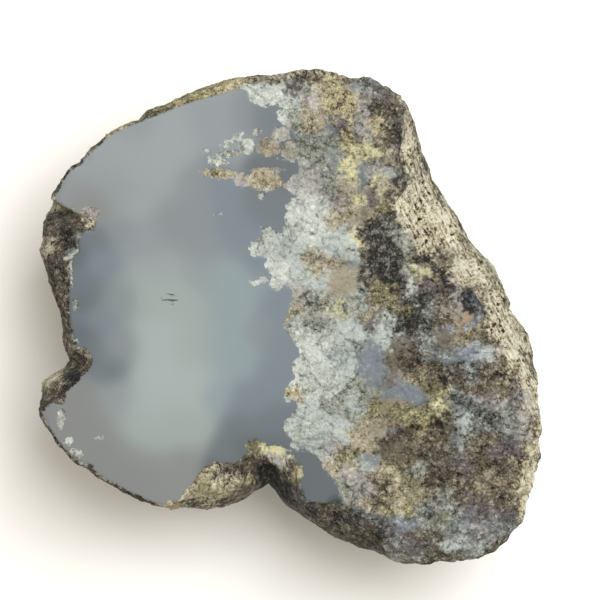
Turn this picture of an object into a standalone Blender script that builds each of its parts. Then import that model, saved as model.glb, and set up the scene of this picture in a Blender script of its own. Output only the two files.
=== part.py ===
"""Half of an agate nodule, sawn flat across its blue-grey chalcedony and lying on its rough skin.

One closed solid in metres, +Z up, with its origin on the surface it lies on, under the middle of its
outline. Rings of points lead from the rim of the sawn face over the girth and down the belly to the foot,
and an even grid of points fills the face and the foot. Sizes below are in millimetres, and a share runs
from 0 to 1 down one of these stretches.
"""

import math

import bmesh
import bpy
import numpy as np
from mathutils import Vector, geometry, kdtree, noise

MM = 0.001

THICKNESS = 38.0
MOST_TRIANGLES = 9600

# The underside is laid this far too low and then planed off level, which leaves an uneven flat to lie on
FOOT_PLANED = 1.1
FOOT_CENTRE = (1.5, -1.5)
FOOT_RADIUS = 15.0
# How far the foot's outline wavers, as (height, turns, phase)
FOOT_WAVES = [(2.2, 2, 0.6), (1.3, 3, 0.0)]

# The widest outline of the nodule, seen from above, from the right side round by the far side
GIRTH = [
    (48.1, -20.8), (47.2, -16.4), (47.4, -11.3), (45.3, -2.9), (42.6, 1.4), (39.8, 8.2), (34.6, 15.2),
    (30.7, 22.0), (27.4, 26.6), (25.2, 32.3), (23.4, 38.7), (21.2, 42.4), (14.3, 46.1), (11.8, 45.8),
    (6.0, 47.2), (-3.0, 46.4), (-10.7, 45.7), (-18.7, 42.9), (-23.4, 40.6), (-27.4, 39.5), (-28.9, 37.6),
    (-34.7, 35.1), (-39.1, 30.9), (-40.7, 29.3), (-41.8, 29.0), (-44.1, 25.3), (-47.6, 18.4), (-47.6, 15.2),
    (-48.1, 12.9), (-46.3, 8.2), (-44.1, 1.0), (-43.4, -2.3), (-43.4, -5.6), (-42.5, -8.1), (-43.1, -9.4),
    (-45.2, -10.6), (-47.8, -12.5), (-47.8, -18.3), (-44.5, -24.1), (-39.0, -28.8), (-33.2, -32.6),
    (-26.0, -35.9), (-20.1, -36.8), (-16.1, -37.2), (-12.5, -36.6), (-9.2, -35.5), (-6.7, -33.7),
    (-4.2, -32.1), (-3.0, -33.2), (-1.3, -35.7), (4.2, -39.5), (9.6, -42.8), (13.9, -44.6), (17.6, -45.0),
    (19.4, -46.4), (21.6, -47.2), (26.0, -47.2), (29.2, -46.5), (36.1, -46.1), (41.6, -42.6), (42.3, -41.0),
    (44.5, -38.6), (45.6, -33.5), (47.4, -28.4), (47.6, -25.1),
]

# The edge of the sawn face, the same way round
RIM = [
    (47.6, -21.5), (46.8, -17.5), (44.3, -10.9), (42.1, -6.5), (39.0, -1.0), (36.7, 2.4), (34.3, 5.8),
    (30.8, 6.8), (25.9, 12.1), (21.5, 16.7), (20.4, 18.6), (20.2, 22.2), (22.5, 24.8), (22.7, 26.9),
    (20.6, 30.5), (21.3, 33.4), (21.3, 37.6), (22.3, 40.0), (18.1, 43.3), (15.3, 45.2), (11.5, 45.2),
    (7.7, 46.1), (-1.3, 45.6), (-7.5, 44.2), (-14.4, 42.3), (-24.6, 38.8), (-31.1, 36.4), (-34.5, 34.6),
    (-38.7, 30.5), (-42.7, 27.1), (-45.0, 22.4), (-43.6, 21.3), (-37.3, 18.2), (-37.4, 16.8), (-39.1, 16.6),
    (-40.4, 15.2), (-40.4, 12.5), (-41.5, 11.7), (-42.2, 3.2), (-41.5, -4.0), (-40.6, -6.3), (-38.5, -7.0),
    (-37.7, -8.1), (-38.2, -9.5), (-41.7, -13.4), (-45.2, -16.0), (-47.4, -17.9), (-47.2, -19.0),
    (-43.3, -24.9), (-38.3, -28.6), (-32.6, -32.3), (-25.6, -35.5), (-23.1, -36.1), (-21.6, -35.2),
    (-19.5, -33.1), (-17.8, -30.6), (-16.3, -28.7), (-14.0, -28.1), (-11.7, -28.7), (-9.6, -27.4),
    (-6.4, -23.6), (-4.9, -24.6), (-0.9, -25.1), (-0.7, -26.6), (1.0, -28.0), (1.4, -31.0), (3.1, -35.2),
    (8.8, -35.8), (14.0, -39.3), (17.0, -42.2), (20.6, -45.4), (25.9, -46.6), (33.1, -45.9),
    (38.6, -43.9), (41.9, -40.5), (44.5, -36.0), (44.9, -33.1), (46.8, -28.2), (47.0, -25.1),
]
LEAST_SKIN = 0.35

# How far the girth lies under the face: this much, and more where the skin shows as a wide slope
GIRTH_DROP = 2.2
GIRTH_DROP_PER_SLOPE = 1.3

# Where smooth chalcedony ends and gritty matrix begins on the face, from the far edge to the near one
MATRIX_EDGE = [
    (2.0, 46.9), (5.4, 37.4), (10.5, 31.7), (12.4, 22.2), (13.7, 14.6), (13.4, 7.0), (15.6, 3.2),
    (20.0, -1.6), (21.0, -6.3), (25.7, -10.1), (25.7, -15.8), (21.0, -17.7), (17.2, -21.5), (15.3, -27.2),
    (11.5, -31.0), (7.7, -34.8), (5.8, -38.6),
]
MATRIX_BLEND = 1.2
MATRIX_DROP = 0.45
MATRIX_WAVES = [(0.5, 6.0), (0.3, 2.4)]

# The rim is a crisp saw edge in chalcedony and rounds over in matrix
SAW_EDGE_WIDTH = 0.5
SAW_EDGE_DROP = 0.2
WORN_EDGE_WIDTH = 3.2
WORN_EDGE_DROP = 1.7

# Hollows and lumps, each as (x, y, radius along x, radius along y, depth); a lump has a negative depth.
# Each keeps its full depth out to this share of its radius.
HOLLOW_CORE = 0.25
FACE_HOLLOWS = [
    (34.2, 3.4, 2.8, 2.9, 2.8),
    (23.2, 8.5, 10.0, 6.2, 0.9),
    (18.7, 25.2, 2.2, 3.6, 1.0),
    (19.6, 36.0, 3.4, 4.4, 0.7),
    (21.2, 41.2, 2.8, 2.2, 0.9),
    (16.0, 21.5, 2.6, 2.2, 0.5),
    (27.5, -5.0, 3.6, 2.2, 0.5),
    (35.3, -9.2, 4.0, 2.0, 0.5),
    (43.0, -16.8, 2.0, 1.5, 0.9),
    (39.0, -18.5, 2.6, 1.6, 0.5),
    (23.6, -21.0, 2.0, 1.4, 0.8),
    (30.0, -29.5, 5.0, 2.2, 0.4),
    (45.0, -34.6, 2.4, 2.4, 1.6),
    (9.5, -41.0, 7.0, 3.4, 1.4),
    (21.5, -42.5, 4.0, 2.2, 0.5),
    (30.5, -15.0, 3.0, 2.2, -0.5),
    (12.6, 36.0, 3.2, 5.4, -0.5),
    (14.8, 27.0, 2.0, 4.4, -0.4),
    (27.0, 6.0, 2.2, 1.8, -0.6),
    (33.0, -25.0, 6.0, 4.0, -0.4),
]
SKIN_HOLLOWS = [
    (-43.2, 15.0, 3.0, 3.0, 1.3),
    (-5.2, -29.6, 3.2, 3.0, 2.6),
    (-40.6, -8.6, 2.2, 2.0, 1.0),
    (25.0, 30.0, 1.8, 3.0, 0.6),
    (41.8, 0.4, 2.2, 2.6, 0.6),
    (-14.6, -32.2, 2.8, 2.6, -1.1),
    (-9.6, -31.4, 2.2, 2.2, -0.9),
    (31.8, 14.0, 3.0, 4.0, -0.8),
    (-45.4, 19.0, 1.6, 1.6, -0.5),
    (-45.6, -13.4, 1.8, 1.6, -0.5),
]

# The belly takes a plainer outline than the girth's: the mean of the girth over this much to each side
BELLY_SPREAD = math.radians(24.0)
BELLY_SAMPLES = 9

# Relief of the skin, as (height, length) of its waves: on the slope near the rim, and on the belly.
# The girth keeps only a share of the slope's relief, so that the outline stays true.
SLOPE_WAVES = [(0.6, 9.0), (0.4, 3.6)]
GIRTH_CALM = 0.6
BELLY_WAVES = [(3.2, 26.0), (1.4, 11.0), (0.6, 4.5)]
FOOT_CALM = 0.6
KNOB_HEIGHT = 3.4
KNOB_SPACING = 11.0
KNOB_LEVEL = 0.45

# Ledges of a laminated crust, which run along the right-hand slope and fade in from left to right
GROOVE_ANGLE = math.radians(-63.0)
GROOVE_DEPTH = 0.35
GROOVE_SPACING = 2.6
GROOVE_LENGTH = 16.0
GROOVE_DIP = 0.8
GROOVE_FADE = (10.0, 24.0)

# Over how large a share of the slope or the belly each relief fades in
SLOPE_FADE = 0.35
GROOVE_RISE = 0.3
HOLLOW_RISE = 0.2
BELLY_FADE = 0.5
FOOT_FADE = (0.75, 1.0)

# How finely the points are laid before the faces are thinned out. Grid points keep this share of their
# spacing clear of the ring round them.
RING_POINTS = 348
SLOPE_LEVELS = 16
BELLY_LEVELS = 30
GRID_SPACING = 0.8
GRID_CLEARANCE = 0.6
GRID_REACH = 56.0
NEAREST_POINTS = 1e-6

# Asks the triangulation for the triangles within the outline, and no others
INSIDE_ONLY = 1

# Edges sharper than this stay crisp
SHARP_ANGLE = math.radians(35)

STONE_COLOUR = (0.33, 0.36, 0.35, 1.0)
STONE_ROUGHNESS = 0.42


def smooth_step(low, high, value):
    """0 under low, 1 over high, and an even S between them."""
    share = min(max((value - low) / (high - low), 0.0), 1.0)
    return share * share * (3 - 2 * share)


def polar(outline):
    """An outline's points as two arrays, their angles round the middle and their distances from it."""
    points = np.array(outline)
    return np.arctan2(points[:, 1], points[:, 0]), np.hypot(points[:, 0], points[:, 1])


RIM_POLAR = polar(RIM)
GIRTH_POLAR = polar(GIRTH)


def radius_at(angle, outline_polar):
    """How far from the middle an outline lies in one direction."""
    return float(np.interp(angle, *outline_polar, period=math.tau))


def girth_radius(angle):
    return radius_at(angle, GIRTH_POLAR)


def rim_radius(angle):
    return min(radius_at(angle, RIM_POLAR), girth_radius(angle) - LEAST_SKIN)


def belly_radius(angle):
    """The plainer outline that the belly follows, in which the notches of the girth are smoothed away."""
    turns = np.linspace(-BELLY_SPREAD, BELLY_SPREAD, BELLY_SAMPLES)
    return sum(girth_radius(angle + turn) for turn in turns) / BELLY_SAMPLES


def foot_radius(angle):
    """The foot is a rounded patch that wavers a little."""
    return FOOT_RADIUS + sum(height * math.sin(turns * angle + phase) for height, turns, phase in FOOT_WAVES)


def waves(point, wave_list):
    """The sum of fractal waves of several heights and lengths at a point."""
    return sum(height * noise.fractal(point / length, 1.0, 2.1, 3) for height, length in wave_list)


def hollow_depth(x, y, hollows):
    """How deep the listed hollows reach at a place, with lumps counted as negative."""
    depth = 0.0
    for centre_x, centre_y, radius_x, radius_y, full_depth in hollows:
        away = math.hypot((x - centre_x) / radius_x, (y - centre_y) / radius_y)
        depth += full_depth * (1.0 - smooth_step(HOLLOW_CORE, 1.0, away))
    return depth


def matrix_share(x, y):
    """0 on the smooth chalcedony and 1 on the gritty matrix at the right of the face."""
    edge_y = [point[1] for point in reversed(MATRIX_EDGE)]
    edge_x = [point[0] for point in reversed(MATRIX_EDGE)]
    return smooth_step(-MATRIX_BLEND, MATRIX_BLEND, x - float(np.interp(y, edge_y, edge_x)))


def face_drop(x, y, rim):
    """How far the face lies under the saw's plane. It is flat in the chalcedony and broken in the matrix."""
    matrix = matrix_share(x, y)
    inside = rim - math.hypot(x, y)
    width = SAW_EDGE_WIDTH + (WORN_EDGE_WIDTH - SAW_EDGE_WIDTH) * matrix
    drop = SAW_EDGE_DROP + (WORN_EDGE_DROP - SAW_EDGE_DROP) * matrix
    edge = drop * (1.0 - smooth_step(0.0, width, inside)) ** 2
    if matrix <= 0.0:
        return edge
    grit = waves(Vector((x, y, 0.0)), MATRIX_WAVES)
    hollows = hollow_depth(x, y, FACE_HOLLOWS)
    return edge + matrix * max(MATRIX_DROP + grit + hollows, 0.0)


def face_point(x, y):
    """The point of the sawn face at a place."""
    return Vector((x, y, THICKNESS - face_drop(x, y, rim_radius(math.atan2(y, x)))))


def slope_point(angle, share):
    """A point of the skin between the rim and the girth, on a quarter of an ellipse."""
    rim = rim_radius(angle)
    girth = girth_radius(angle)
    edge = face_point(rim * math.cos(angle), rim * math.sin(angle))
    drop = GIRTH_DROP + GIRTH_DROP_PER_SLOPE * (girth - rim)
    girth_height = THICKNESS - drop
    turn = share * math.pi / 2
    radius = rim + (girth - rim) * math.sin(turn)
    height = girth_height + (edge.z - girth_height) * math.cos(turn)
    return Vector((radius * math.cos(angle), radius * math.sin(angle), height))


def belly_point(angle, share):
    """A point of the skin between the girth and the foot, on a quarter of an ellipse."""
    girth = slope_point(angle, 1.0)
    turn = share * math.pi / 2
    widest = math.hypot(girth.x, girth.y)
    end = foot_radius(angle)
    plain = end + (max(belly_radius(angle), widest) - end) * math.cos(turn)
    radius = min(plain, widest)
    height = girth.z - (girth.z + FOOT_PLANED) * math.sin(turn)
    drift = smooth_step(0.0, 1.0, share)
    x = radius * math.cos(angle) + drift * FOOT_CENTRE[0]
    y = radius * math.sin(angle) + drift * FOOT_CENTRE[1]
    return Vector((x, y, height))


def foot_point(x, y):
    """A point of the lowest part of the skin, which is planed off afterwards."""
    return Vector((x, y, -FOOT_PLANED))


def ring(mesh, point_of, share):
    """A closed ring of vertices, at even angles."""
    return [mesh.verts.new(point_of(math.tau * i / RING_POINTS, share)) for i in range(RING_POINTS)]


def fill_band(mesh, upper, lower):
    """Joins a ring to the next one below it with triangles."""
    for i in range(RING_POINTS):
        after = (i + 1) % RING_POINTS
        mesh.faces.new((upper[i], lower[i], lower[after]))
        mesh.faces.new((upper[i], lower[after], upper[after]))


def grid_places(edge):
    """The places of an even triangular grid, apart from those too near an outline's points."""
    near = kdtree.KDTree(len(edge))
    for number, place in enumerate(edge):
        near.insert(place.to_3d(), number)
    near.balance()
    row_height = GRID_SPACING * math.sin(math.pi / 3)
    rows = math.ceil(GRID_REACH / row_height)
    columns = math.ceil(GRID_REACH / GRID_SPACING)
    places = []
    for row in range(-rows, rows + 1):
        for column in range(-columns, columns + 1):
            place = Vector(((column + row % 2 / 2) * GRID_SPACING, row * row_height))
            if near.find(place.to_3d())[2] > GRID_CLEARANCE * GRID_SPACING:
                places.append(place)
    return places


def fill_ring(mesh, ring_vertices, point_at):
    """Fills a ring with triangles between the grid places within it, and gives the vertices laid there."""
    edge = [vertex.co.xy for vertex in ring_vertices]
    sides = [(i, (i + 1) % len(edge)) for i in range(len(edge))]
    places = edge + grid_places(edge)
    laid = geometry.delaunay_2d_cdt(places, sides, [], INSIDE_ONLY, NEAREST_POINTS)
    vertices = dict(enumerate(ring_vertices))
    for corners in laid[2]:
        triangle = [laid[3][corner][0] for corner in corners]
        for number in triangle:
            if number not in vertices:
                vertices[number] = mesh.verts.new(point_at(*places[number]))
        mesh.faces.new([vertices[number] for number in triangle])
    return [vertex for number, vertex in vertices.items() if number >= len(edge)]


def groove_depth(point):
    """Fine ledges that run along the right-hand slope, as in a laminated crust."""
    along = point.x * math.cos(GROOVE_ANGLE) + point.y * math.sin(GROOVE_ANGLE)
    across = point.y * math.cos(GROOVE_ANGLE) - point.x * math.sin(GROOVE_ANGLE) + GROOVE_DIP * point.z
    return GROOVE_DEPTH * noise.noise(Vector((along / GROOVE_LENGTH, across / GROOVE_SPACING, 0.0)))


def knob_lift(point):
    """Rounded knobs with creases between them, as a nodule's skin has."""
    distance = noise.voronoi(point / KNOB_SPACING)[0][0]
    return KNOB_HEIGHT * (KNOB_LEVEL - distance)


def slope_lift(place, share):
    """How far a point of the slope by the rim moves out, which is gently."""
    lift = smooth_step(0.0, SLOPE_FADE, share) * (1.0 - GIRTH_CALM * share) * waves(place, SLOPE_WAVES)
    right_side = smooth_step(*GROOVE_FADE, place.x)
    lift += right_side * smooth_step(0.0, GROOVE_RISE, share) * groove_depth(place)
    lift -= smooth_step(0.0, HOLLOW_RISE, share) * hollow_depth(place.x, place.y, SKIN_HOLLOWS)
    return lift


def belly_lift(place, share):
    """How far a point of the belly or the foot moves out: more and more on the way down, less by the foot."""
    under = smooth_step(0.0, BELLY_FADE, share)
    calm = 1.0 - FOOT_CALM * smooth_step(*FOOT_FADE, share)
    lift = (1.0 - under) * (1.0 - GIRTH_CALM) * waves(place, SLOPE_WAVES)
    return lift + under * calm * (waves(place, BELLY_WAVES) + knob_lift(place))


def roughen_skin(mesh, slope_rings, belly_rings, foot):
    """Moves the skin's vertices in and out along its normals, and planes off what ends up too low."""
    mesh.normal_update()
    moves = []
    for level, vertices in enumerate(slope_rings, start=1):
        moves += [(vertex, slope_lift(vertex.co, level / SLOPE_LEVELS)) for vertex in vertices]
    for level, vertices in enumerate(belly_rings, start=1):
        moves += [(vertex, belly_lift(vertex.co, level / BELLY_LEVELS)) for vertex in vertices]
    moves += [(vertex, belly_lift(vertex.co, 1.0)) for vertex in foot]
    for vertex, lift in moves:
        vertex.co += vertex.normal * lift
        vertex.co.z = max(vertex.co.z, 0.0)


def nodule_mesh():
    """The whole nodule as one closed mesh, in metres."""
    mesh = bmesh.new()
    rim = ring(mesh, slope_point, 0.0)
    slope = [ring(mesh, slope_point, level / SLOPE_LEVELS) for level in range(1, SLOPE_LEVELS + 1)]
    belly = [ring(mesh, belly_point, level / BELLY_LEVELS) for level in range(1, BELLY_LEVELS + 1)]
    rings = [rim, *slope, *belly]
    for upper, lower in zip(rings, rings[1:]):
        fill_band(mesh, upper, lower)
    fill_ring(mesh, rim, face_point)
    foot = fill_ring(mesh, belly[-1], foot_point)
    bmesh.ops.recalc_face_normals(mesh, faces=mesh.faces)
    roughen_skin(mesh, slope, belly, foot)
    bmesh.ops.scale(mesh, vec=(MM, MM, MM), verts=mesh.verts)
    finished = bpy.data.meshes.new("agate_nodule")
    mesh.to_mesh(finished)
    mesh.free()
    return finished


def centre_over_origin(mesh):
    """Slides the mesh sideways until the middle of its outline is over the origin."""
    corners = np.array([vertex.co for vertex in mesh.vertices])
    middle = (corners.min(axis=0) + corners.max(axis=0)) / 2
    for vertex in mesh.vertices:
        vertex.co.x -= middle[0]
        vertex.co.y -= middle[1]


def chalcedony_material():
    """The stone's plain colour: milky blue-grey with a satin sawn surface."""
    material = bpy.data.materials.new("blue_grey_chalcedony")
    material.use_nodes = True
    shader = material.node_tree.nodes["Principled BSDF"]
    shader.inputs["Base Color"].default_value = STONE_COLOUR
    shader.inputs["Roughness"].default_value = STONE_ROUGHNESS
    shader.inputs["Metallic"].default_value = 0.0
    return material


def main():
    for old in list(bpy.data.objects):
        bpy.data.objects.remove(old)
    mesh = nodule_mesh()
    centre_over_origin(mesh)
    mesh.shade_smooth()
    mesh.set_sharp_from_angle(angle=SHARP_ANGLE)
    mesh.materials.append(chalcedony_material())
    nodule = bpy.data.objects.new("agate_nodule", mesh)
    bpy.context.scene.collection.objects.link(nodule)
    thinning = nodule.modifiers.new("fewer_triangles", "DECIMATE")
    thinning.ratio = MOST_TRIANGLES / len(mesh.polygons)


main()
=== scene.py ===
"""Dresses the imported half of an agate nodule: its sawn face, its rough skin, a pale floor and soft light.

The stone is one mesh, laid like the solid it stands for but much finer. Every vertex carries the colours and
the texture of the mineral that it lies in, and one node material turns those into stone. Sizes are in
millimetres in the frame of the solid, unless a name says that they are pixels of the 600 by 600 photograph.
"""

from __future__ import annotations

import logging
import math
from collections.abc import Callable, Iterable, Sequence
from dataclasses import dataclass, field, fields
from enum import Enum

import bpy
import numpy as np
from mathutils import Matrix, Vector, geometry, kdtree, noise

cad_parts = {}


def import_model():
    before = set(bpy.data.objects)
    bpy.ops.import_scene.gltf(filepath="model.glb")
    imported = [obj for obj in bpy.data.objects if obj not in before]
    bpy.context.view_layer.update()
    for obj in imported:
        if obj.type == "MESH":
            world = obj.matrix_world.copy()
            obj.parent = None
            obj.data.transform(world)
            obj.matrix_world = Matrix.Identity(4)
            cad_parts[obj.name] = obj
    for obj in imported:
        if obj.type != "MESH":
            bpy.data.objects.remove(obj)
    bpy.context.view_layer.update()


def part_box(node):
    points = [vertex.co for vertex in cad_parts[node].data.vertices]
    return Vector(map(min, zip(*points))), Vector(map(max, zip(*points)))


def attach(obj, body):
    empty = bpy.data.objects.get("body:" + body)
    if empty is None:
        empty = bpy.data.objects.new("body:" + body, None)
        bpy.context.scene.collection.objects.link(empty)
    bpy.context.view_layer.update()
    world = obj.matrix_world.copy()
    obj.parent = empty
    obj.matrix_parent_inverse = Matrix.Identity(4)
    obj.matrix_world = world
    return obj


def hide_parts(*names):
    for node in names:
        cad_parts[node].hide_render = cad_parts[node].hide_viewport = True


LOG = logging.getLogger("agate")

NODE = "agate_nodule"
BODY = "root"

MM = 0.001
IMAGE_PIXELS = 600
MM_PER_PIXEL = 0.19
MIDDLE_PIXEL = (289.65, 316.75)

# How bright a white surface shows in the studio's light: the colours that show are divided by this
LIGHT_LEVEL = (1.65, 1.6, 1.5)

# The curve of 8-bit colour: straight up to its limit, and a power above it
CURVE_LIMIT = 0.04045
CURVE_SLOPE = 12.92
CURVE_OFFSET = 0.055
CURVE_POWER = 2.4

# How fast finer waves grow weaker, and how many times finer each is than the one before
WAVE_FALL = 1.0
WAVE_STEP = 2.1

Colour = tuple[float, float, float]
# A noise, as its waves per millimetre, its detail and its roughness
Noise = tuple[float, float, float]
Points = np.ndarray


def shown(red: int, green: int, blue: int) -> Colour:
    """Gives the surface colour that shows as an 8-bit colour in the studio's light.

    Args:
        red: The red that shows, 0 to 255.
        green: The green that shows.
        blue: The blue that shows.

    Returns:
        The linear colour of the surface.
    """
    surface = []
    for channel, level in zip((red, green, blue), LIGHT_LEVEL):
        value = channel / 255
        if value <= CURVE_LIMIT:
            linear = value / CURVE_SLOPE
        else:
            linear = ((value + CURVE_OFFSET) / (1.0 + CURVE_OFFSET)) ** CURVE_POWER
        surface.append(linear / level)
    return tuple(surface)


def smooth_step(low: float, high: float, value: np.ndarray | float) -> np.ndarray | float:
    """Gives 0 under low, 1 over high and an even S between them."""
    share = np.clip((value - low) / (high - low), 0.0, 1.0)
    return share * share * (3 - 2 * share)


def fractal(points: Points, length: float, octaves: int = 3) -> np.ndarray:
    """Gives fractal waves of about one length at many points.

    Args:
        points: An array of points, in millimetres.
        length: The length of the longest waves.
        octaves: How many ever finer waves are summed.

    Returns:
        A value for each point, around 0.
    """
    return np.array([noise.fractal(Vector(p), WAVE_FALL, WAVE_STEP, octaves) for p in points / length])


def polar(outline: Sequence[tuple[float, float]]) -> tuple[np.ndarray, np.ndarray]:
    """Gives an outline's points as their angles round the middle and their distances from it."""
    points = np.array(outline)
    return np.arctan2(points[:, 1], points[:, 0]), np.hypot(points[:, 0], points[:, 1])


def to_pixels(points: Points) -> np.ndarray:
    """Gives the photograph's pixels for points in millimetres.

    Args:
        points: The points, of which only x and y count.

    Returns:
        The pixels across and down, one row to a point.
    """
    across = points[:, 0] / MM_PER_PIXEL + MIDDLE_PIXEL[0]
    down = MIDDLE_PIXEL[1] - points[:, 1] / MM_PER_PIXEL
    return np.column_stack((across, down))


def signed_distance(points: np.ndarray, polygon: Sequence[tuple[float, float]]) -> np.ndarray:
    """Measures how far points lie inside a closed polygon.

    Args:
        points: An array of flat points.
        polygon: The polygon's corners.

    Returns:
        The distance to the polygon's edge, positive inside it and negative outside.
    """
    corners = np.array(polygon, float)
    nearest = np.full(len(points), np.inf)
    inside = np.zeros(len(points), bool)
    for start, end in zip(corners, np.roll(corners, -1, axis=0)):
        along = end - start
        share = np.clip(((points - start) @ along) / (along @ along), 0.0, 1.0)
        nearest = np.minimum(nearest, np.linalg.norm(points - start - share[:, None] * along, axis=1))
        crosses = (start[1] > points[:, 1]) != (end[1] > points[:, 1])
        if crosses.any():
            at = start[0] + (points[:, 1] - start[1]) * along[0] / (along[1] or 1.0)
            inside ^= crosses & (points[:, 0] < at)
    return np.where(inside, nearest, -nearest)


@dataclass(frozen=True)
class Finish:
    """How one mineral looks: its darkest, middle and lightest grains, and how they lie.

    Attributes:
        dark: The colour of its darkest grains.
        middle: The colour of most of it.
        light: The colour of its lightest grains.
        speckle: How strongly its fine grains differ.
        clump: How strongly its coarse grains and clumps differ, in tone and in relief.
        balance: How far light grains outnumber dark ones.
        crust: How far it is a streaked and pitted crust.
        roughness: Its roughness.
        grit: The height of its grit, in millimetres.
        sunk: How far it lies under the saw's plane, in millimetres.
    """

    dark: Colour
    middle: Colour
    light: Colour
    speckle: float = 1.0
    clump: float = 1.0
    balance: float = 0.0
    crust: float = 0.0
    roughness: float = 0.8
    grit: float = 0.12
    sunk: float = 0.0


class Mineral(Enum):
    """The minerals of the nodule, by their look, with the painted shade of its hollows and pits."""

    FROST = Finish(
        shown(140, 146, 136), shown(208, 211, 198), shown(245, 246, 233),
        speckle=0.62, clump=1.0, balance=0.06, roughness=0.5, grit=0.05,
    )
    ICE = Finish(
        shown(146, 154, 147), shown(196, 202, 192), shown(228, 232, 222),
        speckle=0.5, clump=0.9, roughness=0.5, grit=0.03,
    )
    AZURE = Finish(
        shown(86, 92, 100), shown(156, 162, 173), shown(228, 232, 238),
        speckle=0.5, clump=0.7, roughness=0.5, grit=0.05,
    )
    PEARL = Finish(
        shown(128, 122, 117), shown(184, 179, 170), shown(224, 219, 211),
        speckle=0.6, roughness=0.6, grit=0.06,
    )
    HAZE = Finish(
        shown(106, 112, 116), shown(125, 132, 137), shown(152, 158, 162),
        speckle=0.25, clump=0.4, roughness=0.45, grit=0.01,
    )
    SAGE = Finish(
        shown(78, 80, 68), shown(159, 160, 144), shown(216, 216, 200),
        speckle=0.85, roughness=0.65, grit=0.08,
    )
    TAN = Finish(
        shown(92, 82, 62), shown(182, 170, 140), shown(230, 220, 190),
        speckle=0.9, clump=0.9, roughness=0.7, grit=0.06,
    )
    CLAY = Finish(
        shown(130, 121, 101), shown(173, 163, 138), shown(202, 192, 167),
        speckle=0.4, clump=0.4, roughness=0.65, grit=0.02,
    )
    OCHRE = Finish(
        shown(68, 59, 40), shown(188, 174, 134), shown(238, 226, 184),
        speckle=1.05, clump=0.95,
    )
    LICHEN = Finish(
        shown(40, 38, 22), shown(142, 134, 97), shown(218, 209, 164),
        speckle=0.9, clump=0.8, grit=0.12,
    )
    SULPHUR = Finish(
        shown(148, 140, 94), shown(237, 229, 174), shown(255, 250, 212),
        speckle=0.6, clump=0.5, roughness=0.65, grit=0.08,
    )
    RUST = Finish(
        shown(112, 94, 70), shown(176, 156, 126), shown(210, 194, 164),
        speckle=0.35, clump=0.4, roughness=0.75, grit=0.1,
    )
    RUSSET = Finish(shown(48, 41, 31), shown(122, 109, 86), shown(184, 169, 140), speckle=1.0, grit=0.14)
    PEAT = Finish(
        shown(78, 70, 57), shown(114, 106, 90), shown(142, 133, 115),
        speckle=0.5, clump=0.7, roughness=0.7, grit=0.06,
    )
    UMBER = Finish(
        shown(34, 29, 21), shown(104, 95, 76), shown(178, 169, 148),
        speckle=1.05, grit=0.16, sunk=0.1,
    )
    MAUVE = Finish(
        shown(54, 49, 47), shown(112, 105, 101), shown(168, 161, 156),
        speckle=0.9, clump=0.8, grit=0.1,
    )
    ASH = Finish(
        shown(52, 53, 50), shown(126, 127, 120), shown(198, 199, 191),
        speckle=0.95, clump=1.1, roughness=0.75,
    )
    MOSS = Finish(
        shown(14, 14, 13), shown(58, 56, 50), shown(152, 149, 136),
        speckle=1.0, roughness=0.85, grit=0.22, sunk=0.3,
    )
    CREAM = Finish(
        shown(42, 35, 24), shown(218, 202, 164), shown(255, 249, 222),
        speckle=1.2, balance=0.3, crust=1.2, roughness=0.85, grit=0.2,
    )
    OLIVE = Finish(
        shown(50, 45, 32), shown(165, 157, 128), shown(234, 227, 196),
        speckle=1.2, crust=1.1, roughness=0.85, grit=0.16,
    )
    BARK = Finish(
        shown(30, 25, 20), shown(100, 91, 77), shown(182, 171, 150),
        speckle=1.1, crust=0.6, roughness=0.85, grit=0.14,
    )
    # Painted shade: near-black laid into the hollows, the notch and the small pits, where shade falls,
    # besides sinking them
    PIT_SHADE = Finish(
        shown(12, 12, 11), shown(38, 37, 34), shown(84, 82, 77),
        clump=0.6, balance=-0.1, roughness=0.9, sunk=0.5,
    )


class Milk(Enum):
    """The tones of the chalcedony."""

    PALE = shown(172, 181, 176)
    GREEN = shown(163, 173, 166)
    SILVER = shown(158, 162, 162)
    GREY = shown(148, 154, 154)
    MIST = shown(146, 160, 161)
    DOVE = shown(138, 144, 144)
    BLUE = shown(123, 134, 140)
    SLATE = shown(110, 118, 121)
    DEEP = shown(98, 105, 107)
    WARM = shown(139, 140, 136)


# The left edge of the crystal and the matrix, in pixels, from the far rim to the near one
CRYSTAL_EDGE_PIXELS = [
    (236, 60), (240, 86), (247, 93), (250, 101), (258, 104), (264, 106), (270, 103), (277, 104), (284, 108),
    (277, 112), (278, 118), (284, 124), (291, 127), (295, 134), (300, 141), (299, 150), (297, 158),
    (300, 165), (298, 172), (290, 177), (284, 184), (287, 191), (296, 195), (290, 200), (286, 204),
    (287, 210), (284, 215), (286, 222), (283, 228), (284, 235), (276, 231), (268, 226), (260, 228),
    (261, 234), (257, 240), (250, 241), (249, 248), (252, 256), (260, 256), (266, 258), (264, 262),
    (266, 268), (271, 274), (268, 280), (270, 287), (276, 290), (283, 285), (290, 289), (292, 297),
    (290, 303), (288, 312), (284, 320), (284, 328), (289, 335), (294, 341), (299, 348), (299, 355),
    (294, 360), (293, 370), (294, 377), (289, 382), (285, 388), (284, 395), (286, 402), (293, 399),
    (299, 402), (298, 409), (291, 413), (285, 420), (284, 428), (287, 434), (292, 439), (290, 446),
    (296, 450), (306, 450), (313, 452), (320, 460), (323, 468), (330, 476), (336, 484), (338, 492),
    (342, 500), (334, 507), (334, 620), (640, 620), (640, 20), (236, 20),
]

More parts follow.
